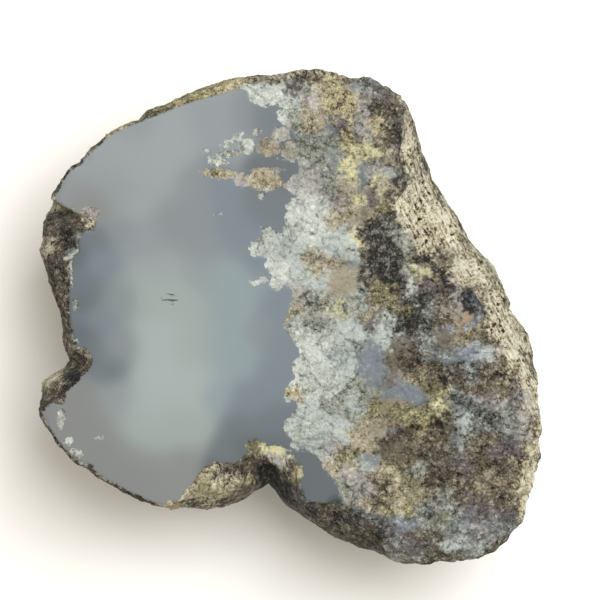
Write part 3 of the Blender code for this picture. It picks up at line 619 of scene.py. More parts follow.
@dataclass(frozen=True)
class NoduleForm:
    """The shape of the nodule, as the solid has it, in millimetres."""

    thickness: float = 38.0
    least_skin: float = 0.35
    girth_drop: float = 2.2
    girth_drop_per_slope: float = 1.3
    matrix_blend: float = 1.2
    matrix_drop: float = 0.45
    matrix_waves: tuple = ((0.5, 6.0), (0.3, 2.4))
    saw_edge: tuple[float, float] = (0.5, 0.2)
    worn_edge: tuple[float, float] = (3.2, 1.7)
    hollow_core: float = 0.25
    belly_spread: float = math.radians(24.0)
    belly_samples: int = 9
    slope_waves: tuple = ((0.6, 9.0), (0.4, 3.6))
    girth_calm: float = 0.6
    belly_waves: tuple = ((3.2, 26.0), (1.4, 11.0), (0.6, 4.5))
    foot_calm: float = 0.6
    knob_height: float = 3.4
    knob_spacing: float = 11.0
    knob_level: float = 0.45
    groove_angle: float = math.radians(-63.0)
    groove_depth: float = 0.35
    groove_spacing: float = 2.6
    groove_length: float = 16.0
    groove_dip: float = 0.8
    groove_fade: tuple[float, float] = (10.0, 24.0)
    slope_fade: float = 0.35
    groove_rise: float = 0.3
    hollow_rise: float = 0.2
    belly_fade: float = 0.5
    foot_fade: tuple[float, float] = (0.75, 1.0)
    foot_planed: float = 1.1
    foot_centre: tuple[float, float] = (1.5, -1.5)
    foot_radius: float = 15.0
    foot_waves: tuple = ((2.2, 2, 0.6), (1.3, 3, 0.0))

    def girth_radius(self, angle: np.ndarray) -> np.ndarray:
        """Gives the distance from the middle to the widest outline."""
        return np.interp(angle, *polar(GIRTH), period=math.tau)

    def rim_radius(self, angle: np.ndarray) -> np.ndarray:
        """Gives the distance from the middle to the edge of the sawn face."""
        rim = np.interp(angle, *polar(RIM), period=math.tau)
        return np.minimum(rim, self.girth_radius(angle) - self.least_skin)

    def belly_radius(self, angle: np.ndarray) -> np.ndarray:
        """Gives the plainer outline of the belly, in which the notches of the girth are smoothed away."""
        turns = np.linspace(-self.belly_spread, self.belly_spread, self.belly_samples)
        return sum(self.girth_radius(angle + turn) for turn in turns) / self.belly_samples

    def foot_outline(self, angle: np.ndarray) -> np.ndarray:
        """Gives the distance from the foot's middle to its edge."""
        waver = sum(height * np.sin(turns * angle + phase) for height, turns, phase in self.foot_waves)
        return self.foot_radius + waver

    def hollow_depth(self, points: Points, hollows: Iterable[tuple[float, ...]]) -> np.ndarray:
        """Gives how deep the listed hollows reach at points, with lumps counted as negative.

        Args:
            points: The points.
            hollows: Rows like those of FACE_HOLLOWS.

        Returns:
            The depth at each point.
        """
        depth = np.zeros(len(points))
        for x, y, radius_x, radius_y, full in hollows:
            away = np.hypot((points[:, 0] - x) / radius_x, (points[:, 1] - y) / radius_y)
            depth += full * (1.0 - smooth_step(self.hollow_core, 1.0, away))
        return depth

    def matrix_share(self, points: Points) -> np.ndarray:
        """Gives 0 on the smooth chalcedony and 1 on the gritty matrix at the right of the face.

        Args:
            points: Points of the face.

        Returns:
            The share of matrix at each point.
        """
        edge = np.array(MATRIX_EDGE)[::-1]
        beyond = points[:, 0] - np.interp(points[:, 1], edge[:, 1], edge[:, 0])
        return smooth_step(-self.matrix_blend, self.matrix_blend, beyond)

    def face_drop(self, points: Points, rim: np.ndarray) -> np.ndarray:
        """Gives how far the face lies under the saw's plane.

        Args:
            points: Points of the face.
            rim: How far the rim lies from the middle, towards each point.

        Returns:
            The drop of each point.
        """
        matrix = self.matrix_share(points)
        inside = rim - np.hypot(points[:, 0], points[:, 1])
        width = self.saw_edge[0] + (self.worn_edge[0] - self.saw_edge[0]) * matrix
        drop = self.saw_edge[1] + (self.worn_edge[1] - self.saw_edge[1]) * matrix
        edge = drop * (1.0 - smooth_step(0.0, 1.0, inside / width)) ** 2
        broken = matrix > 0.0
        spots = np.column_stack((points[broken, :2], np.zeros(broken.sum())))
        grit = sum(height * fractal(spots, length) for height, length in self.matrix_waves)
        hollows = self.hollow_depth(spots, FACE_HOLLOWS)
        edge[broken] += matrix[broken] * np.maximum(self.matrix_drop + grit + hollows, 0.0)
        return edge

    def face_points(self, places: Points) -> Points:
        """Gives the points of the sawn face at flat places."""
        rim = self.rim_radius(np.arctan2(places[:, 1], places[:, 0]))
        return np.column_stack((places, self.thickness - self.face_drop(places, rim)))

    def slope_ring(self, angle: np.ndarray, share: float) -> Points:
        """Gives a ring of the skin between the rim and the girth, on a quarter of an ellipse.

        Args:
            angle: The angles of its points.
            share: How far down it lies, from 0 at the rim to 1 at the girth.

        Returns:
            The points of the ring.
        """
        rim = self.rim_radius(angle)
        girth = self.girth_radius(angle)
        edge = self.face_points(np.column_stack((rim * np.cos(angle), rim * np.sin(angle))))[:, 2]
        girth_height = self.thickness - self.girth_drop - self.girth_drop_per_slope * (girth - rim)
        turn = share * math.pi / 2
        radius = rim + (girth - rim) * math.sin(turn)
        height = girth_height + (edge - girth_height) * math.cos(turn)
        return np.column_stack((radius * np.cos(angle), radius * np.sin(angle), height))

    def belly_ring(self, angle: np.ndarray, share: float) -> Points:
        """Gives a ring of the skin between the girth and the foot, on a quarter of an ellipse.

        Args:
            angle: The angles of its points.
            share: How far down it lies, from 0 at the girth to 1 at the foot.

        Returns:
            The points of the ring.
        """
        girth = self.slope_ring(angle, 1.0)
        turn = share * math.pi / 2
        widest = np.hypot(girth[:, 0], girth[:, 1])
        end = self.foot_outline(angle)
        plain = end + (np.maximum(self.belly_radius(angle), widest) - end) * math.cos(turn)
        radius = np.minimum(plain, widest)
        height = girth[:, 2] - (girth[:, 2] + self.foot_planed) * math.sin(turn)
        drift = smooth_step(0.0, 1.0, share)
        x = radius * np.cos(angle) + drift * self.foot_centre[0]
        y = radius * np.sin(angle) + drift * self.foot_centre[1]
        return np.column_stack((x, y, height))

    def foot_points(self, places: Points) -> Points:
        """Gives the points of the lowest part of the skin, which is planed off afterwards."""
        return np.column_stack((places, np.full(len(places), -self.foot_planed)))

    def slope_lift(self, points: Points, share: np.ndarray) -> np.ndarray:
        """Gives how far points of the slope by the rim move out, which is gently.

        Args:
            points: The points.
            share: How far down the slope each lies.

        Returns:
            How far out each point moves.
        """
        calm = 1.0 - self.girth_calm * share
        lift = smooth_step(0.0, self.slope_fade, share) * calm * self.waves(points, self.slope_waves)
        right = smooth_step(*self.groove_fade, points[:, 0])
        lift += right * smooth_step(0.0, self.groove_rise, share) * self.grooves(points)
        return lift - smooth_step(0.0, self.hollow_rise, share) * self.hollow_depth(points, SKIN_HOLLOWS)

    def belly_lift(self, points: Points, share: np.ndarray) -> np.ndarray:
        """Gives how far points of the belly or the foot move out.

        Args:
            points: The points.
            share: How far down the belly each lies.

        Returns:
            How far out each point moves.
        """
        under = smooth_step(0.0, self.belly_fade, share)
        calm = 1.0 - self.foot_calm * smooth_step(*self.foot_fade, share)
        lift = (1.0 - under) * (1.0 - self.girth_calm) * self.waves(points, self.slope_waves)
        knobs = [noise.voronoi(Vector(p))[0][0] for p in points / self.knob_spacing]
        rough = self.waves(points, self.belly_waves) + self.knob_height * (self.knob_level - np.array(knobs))
        return lift + under * calm * rough

    def waves(self, points: Points, wave_list: Iterable[tuple[float, float]]) -> np.ndarray:
        """Gives the sum of fractal waves of several heights and lengths."""
        return sum(height * fractal(points, length) for height, length in wave_list)

    def grooves(self, points: Points) -> np.ndarray:
        """Gives the fine ledges that run along the right-hand slope.

        Args:
            points: Points of the slope.

        Returns:
            The height of the ledges at each point.
        """
        cos, sin = math.cos(self.groove_angle), math.sin(self.groove_angle)
        along = (points[:, 0] * cos + points[:, 1] * sin) / self.groove_length
        across = points[:, 1] * cos - points[:, 0] * sin + self.groove_dip * points[:, 2]
        across /= self.groove_spacing
        return self.groove_depth * np.array([noise.noise((a, b, 0.0)) for a, b in zip(along, across)])


# Shifts the noise of one mineral against the next one's
MINGLE_SHIFT = 37.0

# The seed of the noise vectors, which would otherwise differ from run to run
VECTOR_SEED = 2

# Asks the triangulation for the triangles within the outline, and no others
INSIDE_ONLY = 1

# Places that lie nearer together than this are one place to the triangulation
NEAREST_PLACES = 1e-6

# How much rarer some minerals are on the hidden belly, in pixels of distance, and then all the others
RARE_BELOW = {
    Mineral.BARK: 0.0, Mineral.UMBER: 0.0, Mineral.OLIVE: 2.0, Mineral.CREAM: 4.0, Mineral.OCHRE: 6.0,
    Mineral.TAN: 6.0, Mineral.MOSS: 14.0,
}
ABSENT_BELOW = 60.0

# The minerals of the rind, which are rarer on the face, as all others are on the rind
RIND = (Mineral.CREAM, Mineral.OLIVE, Mineral.BARK)


class Part(Enum):
    """The parts of the nodule's surface."""

    FACE = 0
    SLOPE = 1
    BELLY = 2
    FOOT = 3


@dataclass
class SkinMesh:
    """Collects points and the triangles between them."""

    points: list[Points] = field(default_factory=list)
    triangles: list[np.ndarray] = field(default_factory=list)
    parts: list[np.ndarray] = field(default_factory=list)
    shares: list[np.ndarray] = field(default_factory=list)
    count: int = 0

    def add(self, points: Points, part: Part, share: float) -> np.ndarray:
        """Adds points of a part and gives their numbers.

        Args:
            points: The points.
            part: Their part.
            share: How far down their part they lie.

        Returns:
            The numbers of the points.
        """
        self.points.append(points)
        self.parts.append(np.full(len(points), part.value))
        self.shares.append(np.full(len(points), share))
        numbers = np.arange(self.count, self.count + len(points))
        self.count += len(points)
        return numbers

    def join(self, upper: np.ndarray, lower: np.ndarray) -> None:
        """Joins two rings, of which the lower has as many points as the upper or half as many.

        Args:
            upper: The numbers of the upper ring's points.
            lower: Those of the lower ring's.
        """
        if len(upper) == len(lower):
            below = np.roll(lower, -1)
            self.triangles.append(np.column_stack((upper, lower, below)))
            self.triangles.append(np.column_stack((upper, below, np.roll(upper, -1))))
            return
        first, middle, last = upper[0::2], upper[1::2], np.roll(upper[0::2], -1)
        below = np.roll(lower, -1)
        self.triangles.append(np.column_stack((first, lower, middle)))
        self.triangles.append(np.column_stack((middle, lower, below)))
        self.triangles.append(np.column_stack((middle, below, last)))

    def fill(
        self, ring: np.ndarray, edge: Points, places: Points, point_at: Callable[[Points], Points], part: Part
    ) -> None:
        """Fills a ring with triangles between flat places.

        Args:
            ring: The numbers of the ring's points.
            edge: The ring's flat places.
            places: Flat places, of which those within the ring are used.
            point_at: Gives the points at flat places.
            part: The part that is filled, which turns the foot's triangles over.
        """
        every = np.vstack((edge, places))
        sides = [(i, (i + 1) % len(edge)) for i in range(len(edge))]
        flat = [Vector(place) for place in every.tolist()]
        laid = geometry.delaunay_2d_cdt(flat, sides, [], INSIDE_ONLY, NEAREST_PLACES)
        source = np.array([numbers[0] for numbers in laid[3]])
        corners = source[np.array(laid[2])]
        used = np.unique(corners[corners >= len(edge)])
        numbers = np.concatenate((ring, np.zeros(len(places), int)))
        numbers[used] = self.add(point_at(every[used]), part, 1.0)
        triangles = numbers[corners]
        self.triangles.append(triangles[:, ::-1] if part is Part.FOOT else triangles)


def grid_places(spacing: float, reach: float) -> Points:
    """Gives the places of an even triangular grid round the middle.

    Args:
        spacing: The distance between neighbours.
        reach: How far the grid reaches from the middle.

    Returns:
        The flat places.
    """
    row_height = spacing * math.sin(math.pi / 3)
    rows = np.arange(-math.ceil(reach / row_height), math.ceil(reach / row_height) + 1)
    columns = np.arange(-math.ceil(reach / spacing), math.ceil(reach / spacing) + 1)
    row, column = (grid.ravel() for grid in np.meshgrid(rows, columns))
    return np.column_stack(((column + row % 2 / 2) * spacing, row * row_height))


def clear_of(places: Points, edge: Points, clearance: float) -> Points:
    """Gives the places that keep a distance from every place of an edge.

    Args:
        places: Flat places.
        edge: The flat places of the edge.
        clearance: The distance.

    Returns:
        The places that are left.
    """
    near = kdtree.KDTree(len(edge))
    for number, place in enumerate(edge.tolist()):
        near.insert((*place, 0.0), number)
    near.balance()
    return places[[near.find((*place, 0.0))[2] > clearance for place in places.tolist()]]


def angles(count: int) -> np.ndarray:
    """Gives even angles round a ring."""
    return np.arange(count) * math.tau / count


def beyond_patch(pixels: np.ndarray, patch: Sequence[float]) -> np.ndarray:
    """Measures how far pixels lie outside a patch.

    Args:
        pixels: The pixels, one to a row.
        patch: The patch, as in the tables of pixels.

    Returns:
        The distance of each in pixels, negative inside the patch.
    """
    across, down, half_length, half_width, *turned = patch
    turn = math.radians(sum(turned))
    x, y = pixels[:, 0] - across, pixels[:, 1] - down
    along = x * math.cos(turn) + y * math.sin(turn)
    beside = y * math.cos(turn) - x * math.sin(turn)
    return (np.hypot(along / half_length, beside / half_width) - 1.0) * min(half_length, half_width)


@dataclass(frozen=True)
class Looks:
    """The looks of many points: their colours, and the numbers of their finish as columns."""

    colours: dict[str, np.ndarray]
    numbers: dict[str, np.ndarray]


@dataclass(frozen=True)
class Grains:
    """Splits the stone into uneven grains of about one size.

    Attributes:
        size: The size of a grain, in millimetres.
        stray: How far off a grain may look up its mineral, in millimetres.
        tone: How far grains differ in tone.
        crevice: How much darker the crevices between them are.
        gap: How wide the crevices are, in sizes.
    """

    size: float
    stray: float
    tone: float
    crevice: float
    gap: float = 0.16

    def at(self, points: Points) -> tuple[np.ndarray, np.ndarray, np.ndarray]:
        """Finds the grain of each point.

        Args:
            points: Points in millimetres.

        Returns:
            How far each point's grain strays, its tone, and its crevices as 1 in them and 0 elsewhere.
        """
        gaps, lots = [], []
        for place in (points / self.size).tolist():
            away, nearest = noise.voronoi(Vector(place))
            gaps.append(away[1] - away[0])
            lots.append(noise.cell_vector(nearest[0]))
        lots = 2 * np.array(lots) - 1
        crevice = 1.0 - smooth_step(0.0, self.gap, np.array(gaps))
        return self.stray * lots[:, :2] * abs(lots[:, :2]), self.tone * lots[:, 2], crevice


@dataclass(frozen=True)
class MineralMap:
    """Says which mineral lies where, grain by grain, with ragged borders.

    Attributes:
        warp: The height and the length of the waves that bend the borders, in millimetres.
        layers: The grains of each size.
        crevice_share: How dark the crevices make a grain on average, which is given back to all of it.
        drift: How far tones drift over the stone, and over how many millimetres.
        border: How soft the borders are, in pixels.
        mingle: The height of the waves by which the minerals mingle, in pixels, and their length.
        milk_sharpness: How soon one tone of the chalcedony gives way to the next.
    """

    warp: tuple = ((1.1, 4.5), (0.6, 1.7))
    layers: tuple = (
        Grains(size=0.55, stray=1.0, tone=0.16, crevice=0.12),
        Grains(size=1.3, stray=0.75, tone=0.16, crevice=0.24),
        Grains(size=3.2, stray=0.5, tone=0.14, crevice=0.2, gap=0.1),
    )
    crevice_share: float = 0.27
    drift: tuple[float, float] = (0.22, 7.0)
    border: float = 1.8
    mingle: tuple = ((1.6, 2.6), (2.0, 0.8))
    milk_sharpness: float = 2.4

    def blend(self, points: Points, push: Callable[[Mineral], np.ndarray | float]) -> Looks:
        """Blends the finishes of the nearest patches, as each grain finds them.

        Args:
            points: Points in millimetres.
            push: Gives pixels to add to the distance of a mineral, for each point.

        Returns:
            The looks of the points. Their relief is 1 in the deepest crevices and below 0 on light grains.
        """
        moved, tone, relief = self.stray(points)
        away = self.distances(points, to_pixels(moved), push)
        weight = np.exp((away.min(axis=0) - away) / self.border)
        weight /= weight.sum(axis=0)
        looks = {}
        for column in fields(Finish):
            looks[column.name] = weight.T @ np.array([getattr(m.value, column.name) for m in MINERAL_PIXELS])
        looks["balance"] += looks["clump"] * tone
        looks["relief"] = looks["clump"] * relief
        colours = {name: looks.pop(name) for name in ("dark", "middle", "light")}
        return Looks(colours, looks)

    def stray(self, points: Points) -> tuple[Points, np.ndarray, np.ndarray]:
        """Finds where each point looks up its mineral, as its grains stray.

        Args:
            points: Points in millimetres.

        Returns:
            The places looked up, how much lighter each point's grains are, and how deep it lies among them.
        """
        moved = points.copy()
        tone = self.drift[0] * fractal(points, self.drift[1])
        relief = np.zeros(len(points))
        for height, length in self.warp:
            moved[:, :2] += height * np.array([noise.noise_vector(Vector(p))[:2] for p in points / length])
        for layer in self.layers:
            stray, lighter, crevice = layer.at(points)
            moved[:, :2] += stray
            tone += lighter + layer.crevice * (self.crevice_share - crevice)
            relief += layer.size * (layer.crevice * crevice - lighter)
        return moved, tone, relief

    def distances(
        self, points: Points, pixels: np.ndarray, push: Callable[[Mineral], np.ndarray | float]
    ) -> np.ndarray:
        """Measures how far each point lies outside every mineral, with uneven borders.

        Args:
            points: Points in millimetres.
            pixels: The pixels at which they look up their mineral.
            push: Gives pixels to add to the distance of a mineral, for each point.

        Returns:
            The distances in pixels, one row to a mineral.
        """
        away = []
        for number, (mineral, patches) in enumerate(MINERAL_PIXELS.items()):
            nearest = np.min([beyond_patch(pixels, patch) for patch in patches], axis=0)
            own = points + number * MINGLE_SHIFT
            mingled = sum(height * fractal(own, length, 2) for height, length in self.mingle)
            away.append(nearest + mingled + push(mineral))
        return np.array(away)

    def milk(self, pixels: np.ndarray) -> np.ndarray:
        """Gives the chalcedony's colour, blended from its tones.

        Args:
            pixels: The pixels, one to a row.

        Returns:
            The colour at each.
        """
        total = np.zeros((len(pixels), 3))
        weights = np.zeros(len(pixels))
        for tone, places in MILK_PIXELS.items():
            for across, down, reach in places:
                away = ((pixels[:, 0] - across) ** 2 + (pixels[:, 1] - down) ** 2) / reach**2
                weight = np.exp(-self.milk_sharpness * np.sqrt(1.0 + away))
                total += weight[:, None] * np.array(tone.value)
                weights += weight
        return total / weights[:, None]

    def crystal_depth(self, places: Points) -> np.ndarray:
        """Gives how far flat places lie inside crystal or matrix, in millimetres, negative in chalcedony.

        Args:
            places: Flat places.

        Returns:
            The depth of each.
        """
        pixels = to_pixels(places)
        depth = signed_distance(pixels, CRYSTAL_EDGE_PIXELS)
        for pool in POOL_PIXELS:
            depth = np.minimum(depth, beyond_patch(pixels, pool))
        for island in ISLAND_PIXELS:
            depth = np.maximum(depth, -beyond_patch(pixels, island))
        return depth * MM_PER_PIXEL


@dataclass
class Nodule:
    """The whole stone as one fine mesh, with the looks of its minerals on its points."""

    form: NoduleForm = field(default_factory=NoduleForm)
    minerals: MineralMap = field(default_factory=MineralMap)
    ring_points: int = 720
    slope_levels: int = 24
    upper_belly_levels: int = 10
    belly_levels: int = 28
    fine_grid: float = 0.3
    smooth_grid: float = 0.8
    foot_grid: float = 0.8
    grid_reach: float = 56.0
    clearance: float = 0.2
    fine_margin: float = 1.4
    grit_waves: tuple = ((1.0, 1.3), (0.7, 0.6))
    relief_height: float = 0.35
    calm_rim: float = 1.0
    sharp_angle: float = math.radians(50.0)
    skin_depth: float = 3.0
    sink_depths: tuple[float, float] = (-0.1, 0.6)
    grit_heights: tuple[float, float] = (0.2, 1.0)
    mottle_length: float = 7.0
    mottle_octaves: int = 4
    mottle_push: float = 40.0
    mottle_fade: float = 0.2
    strangeness: float = 3.0

    def build(self) -> bpy.types.Object:
        """Builds the stone and puts it in the scene.

        Returns:
            The stone's object.
        """
        skin = self.lay()
        points = np.vstack(skin.points)
        part = np.concatenate(skin.parts)
        share = np.concatenate(skin.shares)
        mesh = bpy.data.meshes.new("agate_stone")
        mesh.from_pydata(points.tolist(), [], np.vstack(skin.triangles).tolist())
        points = self.roughen(mesh, points, part, share)
        points = self.paint(mesh, points, part, share)
        low, high = (np.array(corner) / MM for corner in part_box(NODE))
        middle = (points.min(axis=0) + points.max(axis=0)) / 2
        points[:, :2] += ((low + high) / 2 - middle)[:2]
        mesh.vertices.foreach_set("co", (points * MM).ravel())
        mesh.shade_smooth()
        mesh.set_sharp_from_angle(angle=self.sharp_angle)
        mesh.update()
        stone = bpy.data.objects.new("agate_stone", mesh)
        bpy.context.scene.collection.objects.link(stone)
        return stone

    def lay(self) -> SkinMesh:
        """Lays rings from the rim to the foot, joins them, and fills the face and the foot.

        Returns:
            The skin.
        """
        skin = SkinMesh()
        form = self.form
        count = self.ring_points
        rim = form.slope_ring(angles(count), 0.0)
        last = first = skin.add(rim, Part.SLOPE, 0.0)
        for level in range(1, self.slope_levels + 1):
            share = level / self.slope_levels
            ring = skin.add(form.slope_ring(angles(count), share), Part.SLOPE, share)
            skin.join(last, ring)
            last = ring
        for level in range(1, self.belly_levels + 1):
            share = level / self.belly_levels
            wanted = count if level <= self.upper_belly_levels else count // 2
            lowest = form.belly_ring(angles(wanted), share)
            ring = skin.add(lowest, Part.BELLY, share)
            skin.join(last, ring)
            last = ring
        skin.fill(first, rim[:, :2], self.face_places(rim[:, :2]), form.face_points, Part.FACE)
        places = clear_of(grid_places(self.foot_grid, self.grid_reach / 2), lowest[:, :2], self.clearance)
        skin.fill(last, lowest[:, :2], places, form.foot_points, Part.FOOT)
        return skin

    def face_places(self, rim: Points) -> Points:
        """Gives the face's places, which lie close together in crystal and matrix and far apart elsewhere.

        Args:
            rim: The flat places of the rim.

        Returns:
            The flat places within it.
        """
        fine = grid_places(self.fine_grid, self.grid_reach)
        fine = fine[self.minerals.crystal_depth(fine) > -self.fine_margin]
        coarse = grid_places(self.smooth_grid, self.grid_reach)
        coarse = coarse[self.minerals.crystal_depth(coarse) < -self.fine_margin - self.fine_grid]
        return clear_of(np.vstack((fine, coarse)), rim, self.clearance)

    def roughen(self, mesh: bpy.types.Mesh, points: Points, part: np.ndarray, share: np.ndarray) -> Points:
        """Moves the skin in and out along its normals, and planes off what ends up too low.

        Args:
            mesh: The mesh, for its normals.
            points: Its points, in millimetres.
            part: The part of each.
            share: How far down its part each lies.

        Returns:
            The moved points.
        """
        normals = np.empty(3 * len(points), np.float32)
        mesh.vertex_normals.foreach_get("vector", normals)
        normals = normals.reshape(-1, 3).astype(float)
        lift = np.zeros(len(points))
        slope = part == Part.SLOPE.value
        under = part >= Part.BELLY.value
        lift[slope] = self.form.slope_lift(points[slope], share[slope])
        lift[under] = self.form.belly_lift(points[under], share[under])
        points = points + normals * lift[:, None]
        points[:, 2] = np.maximum(points[:, 2], 0.0)
        return points

    def paint(self, mesh: bpy.types.Mesh, points: Points, part: np.ndarray, share: np.ndarray) -> Points:
        """Stores each point's colours and textures.

        Args:
            mesh: The mesh that takes them.
            points: Its points, in millimetres.
            part: The part of each point.
            share: How far down its part each lies.

        Returns:
            The points, moved by their mineral's grit.
        """
        face = part == Part.FACE.value
        flat = points[:, :2]
        depth = np.where(face, self.minerals.crystal_depth(flat), self.skin_depth)
        looks = self.minerals.blend(points, lambda mineral: self.skin_push(points, share, part, mineral))
        for name, colours in looks.colours.items():
            store_colour(mesh, name, colours)
        for name in ("balance", "crust", "roughness", "speckle"):
            store_value(mesh, name, looks.numbers[name])
        store_colour(mesh, "milk", self.minerals.milk(to_pixels(points)))
        store_value(mesh, "crystal_depth", depth)
        inside = self.form.rim_radius(np.arctan2(flat[:, 1], flat[:, 0])) - np.linalg.norm(flat, axis=1)
        within = smooth_step(0.0, self.calm_rim, inside) * smooth_step(*self.sink_depths, depth)
        return points + self.grit(points, looks.numbers, np.where(face, within, 0.0), face)

    def grit(
        self, points: Points, numbers: dict[str, np.ndarray], within: np.ndarray, face: np.ndarray
    ) -> Points:
        """Moves points for their mineral's grit: down on the face, and in or out on the skin.

        Args:
            points: Points in millimetres.
            numbers: The numbers of their finish.
            within: How fully each may sink, from 0 on the skin and in chalcedony to 1.
            face: Which of them are on the face.

        Returns:
            How far each point moves.
        """
        waves = sum(height * fractal(points, length, 2) for height, length in self.grit_waves)
        height = numbers["grit"] * waves - self.relief_height * numbers["relief"]
        height *= smooth_step(*self.grit_heights, points[:, 2])
        outward = points - (0.0, 0.0, self.form.thickness / 2)
        outward /= np.linalg.norm(outward, axis=1, keepdims=True)
        move = outward * np.where(face, 0.0, height)[:, None]
        move[:, 2] += within * (np.minimum(height, 0.0) - numbers["sunk"])
        return move

    def skin_push(self, points: Points, share: np.ndarray, part: np.ndarray, mineral: Mineral) -> np.ndarray:
        """Gives an uneven push away from a mineral, which mixes the skin down the belly.

        Args:
            points: Points of the skin.
            share: How far down each lies on its part.
            part: The part of each.
            mineral: The mineral that the push is for.

        Returns:
            Pixels for each point, added to the distance of the mineral's patches.
        """
        shift = MINGLE_SHIFT * list(Mineral).index(mineral)
        waves = fractal(points + shift, self.mottle_length, self.mottle_octaves)
        below = np.where(part >= Part.BELLY.value, smooth_step(0.0, self.mottle_fade, share), 0.0)
        rarity = RARE_BELOW.get(mineral, ABSENT_BELOW)
        strange = (part == Part.FACE.value) == (mineral in RIND)
        return below * (rarity + self.mottle_push * waves) + self.strangeness * strange


def store_value(mesh: bpy.types.Mesh, name: str, values: np.ndarray) -> None:
    """Stores a number for each vertex."""
    layer = mesh.attributes.new(name, "FLOAT", "POINT")
    layer.data.foreach_set("value", np.ascontiguousarray(values, np.float32))


def store_colour(mesh: bpy.types.Mesh, name: str, colours: np.ndarray) -> None:
    """Stores a colour for each vertex.

    Args:
        mesh: The mesh that takes them.
        name: The name to store them under.
        colours: One to a row.
    """
    layer = mesh.attributes.new(name, "FLOAT_COLOR", "POINT")
    full = np.ones((len(colours), 4), np.float32)
    full[:, :3] = colours
    layer.data.foreach_set("color", full.ravel())


# The numbers of a mix node's sockets for its share, its two colours and their mix
MIX_INPUTS = (0, 6, 7)
MIX_RESULT = 2


class NodeBench:
    """Adds and joins the nodes of one material."""

    def __init__(self, material: bpy.types.Material) -> None:
        """Takes the material to work on.

        Args:
            material: The material.
        """
        material.use_nodes = True
        self.tree = material.node_tree
        self.shader = self.tree.nodes["Principled BSDF"]

    def add(self, kind: str, inputs: dict | None = None, **settings: object) -> bpy.types.Node:
        """Adds a node.

        Args:
            kind: The node's type.
            inputs: Values or sockets for its inputs, by name or number.
            settings: Values for its settings.

        Returns:
            The node.
        """
        node = self.tree.nodes.new(kind)
        for name, value in settings.items():
            setattr(node, name, value)
        for name, value in (inputs or {}).items():
            self.feed(node.inputs[name], value)
        return node

    def feed(self, socket: bpy.types.NodeSocket, value: object) -> None:
        """Joins a socket to an input, or sets its value.

        Args:
            socket: The input.
            value: A socket to join to it, or its value.
        """
        if isinstance(value, bpy.types.NodeSocket):
            self.tree.links.new(value, socket)
        else:
            socket.default_value = value

    def math(self, operation: str, *values: object) -> bpy.types.NodeSocket:
        """Gives the result of arithmetic on numbers or sockets."""
        return self.add("ShaderNodeMath", dict(enumerate(values)), operation=operation).outputs[0]

    def vector(self, operation: str, *values: object, scale: object = None) -> bpy.types.NodeSocket:
        """Gives the result of vector arithmetic.

        Args:
            operation: The arithmetic.
            values: Vectors or sockets.
            scale: The factor, for SCALE alone.

        Returns:
            The result.
        """
        inputs = dict(enumerate(values))
        if scale is not None:
            inputs["Scale"] = scale
        return self.add("ShaderNodeVectorMath", inputs, operation=operation).outputs[0]

    def attribute(self, name: str, output: str = "Fac") -> bpy.types.NodeSocket:
        """Gives what the vertices hold under a name."""
        return self.add("ShaderNodeAttribute", attribute_name=name).outputs[output]

    def noise(self, place: object, kind: Noise) -> bpy.types.NodeSocket:
        """Gives smooth noise around 0.5."""
        inputs = {"Vector": place, **dict(zip(("Scale", "Detail", "Roughness"), kind))}
        return self.add("ShaderNodeTexNoise", inputs).outputs["Fac"]

    def waves(self, place: object, kind: Noise) -> bpy.types.NodeSocket:
        """Gives smooth noise around 0."""
        return self.math("SUBTRACT", self.noise(place, kind), 0.5)

    def cells(self, place: object, per_mm: float) -> bpy.types.Node:
        """Gives a cell texture."""
        return self.add("ShaderNodeTexVoronoi", {"Vector": place, "Scale": per_mm})

    def lot(self, cells: bpy.types.Node, channel: int = 0) -> bpy.types.NodeSocket:
        """Gives a number from 0 to 1 that falls to each cell by chance."""
        return self.add("ShaderNodeSeparateColor", {0: cells.outputs["Color"]}).outputs[channel]

    def step(self, value: object, low: float, high: float) -> bpy.types.NodeSocket:
        """Gives 0 under low, 1 over high and an even S between them."""
        inputs = {"Value": value, "From Min": low, "From Max": high}
        return self.add("ShaderNodeMapRange", inputs, interpolation_type="SMOOTHSTEP").outputs[0]

    def mix(self, share: object, first: object, second: object) -> bpy.types.NodeSocket:
        """Gives a mix of two colours."""
        inputs = dict(zip(MIX_INPUTS, (share, first, second)))
        return self.add("ShaderNodeMix", inputs, data_type="RGBA").outputs[MIX_RESULT]


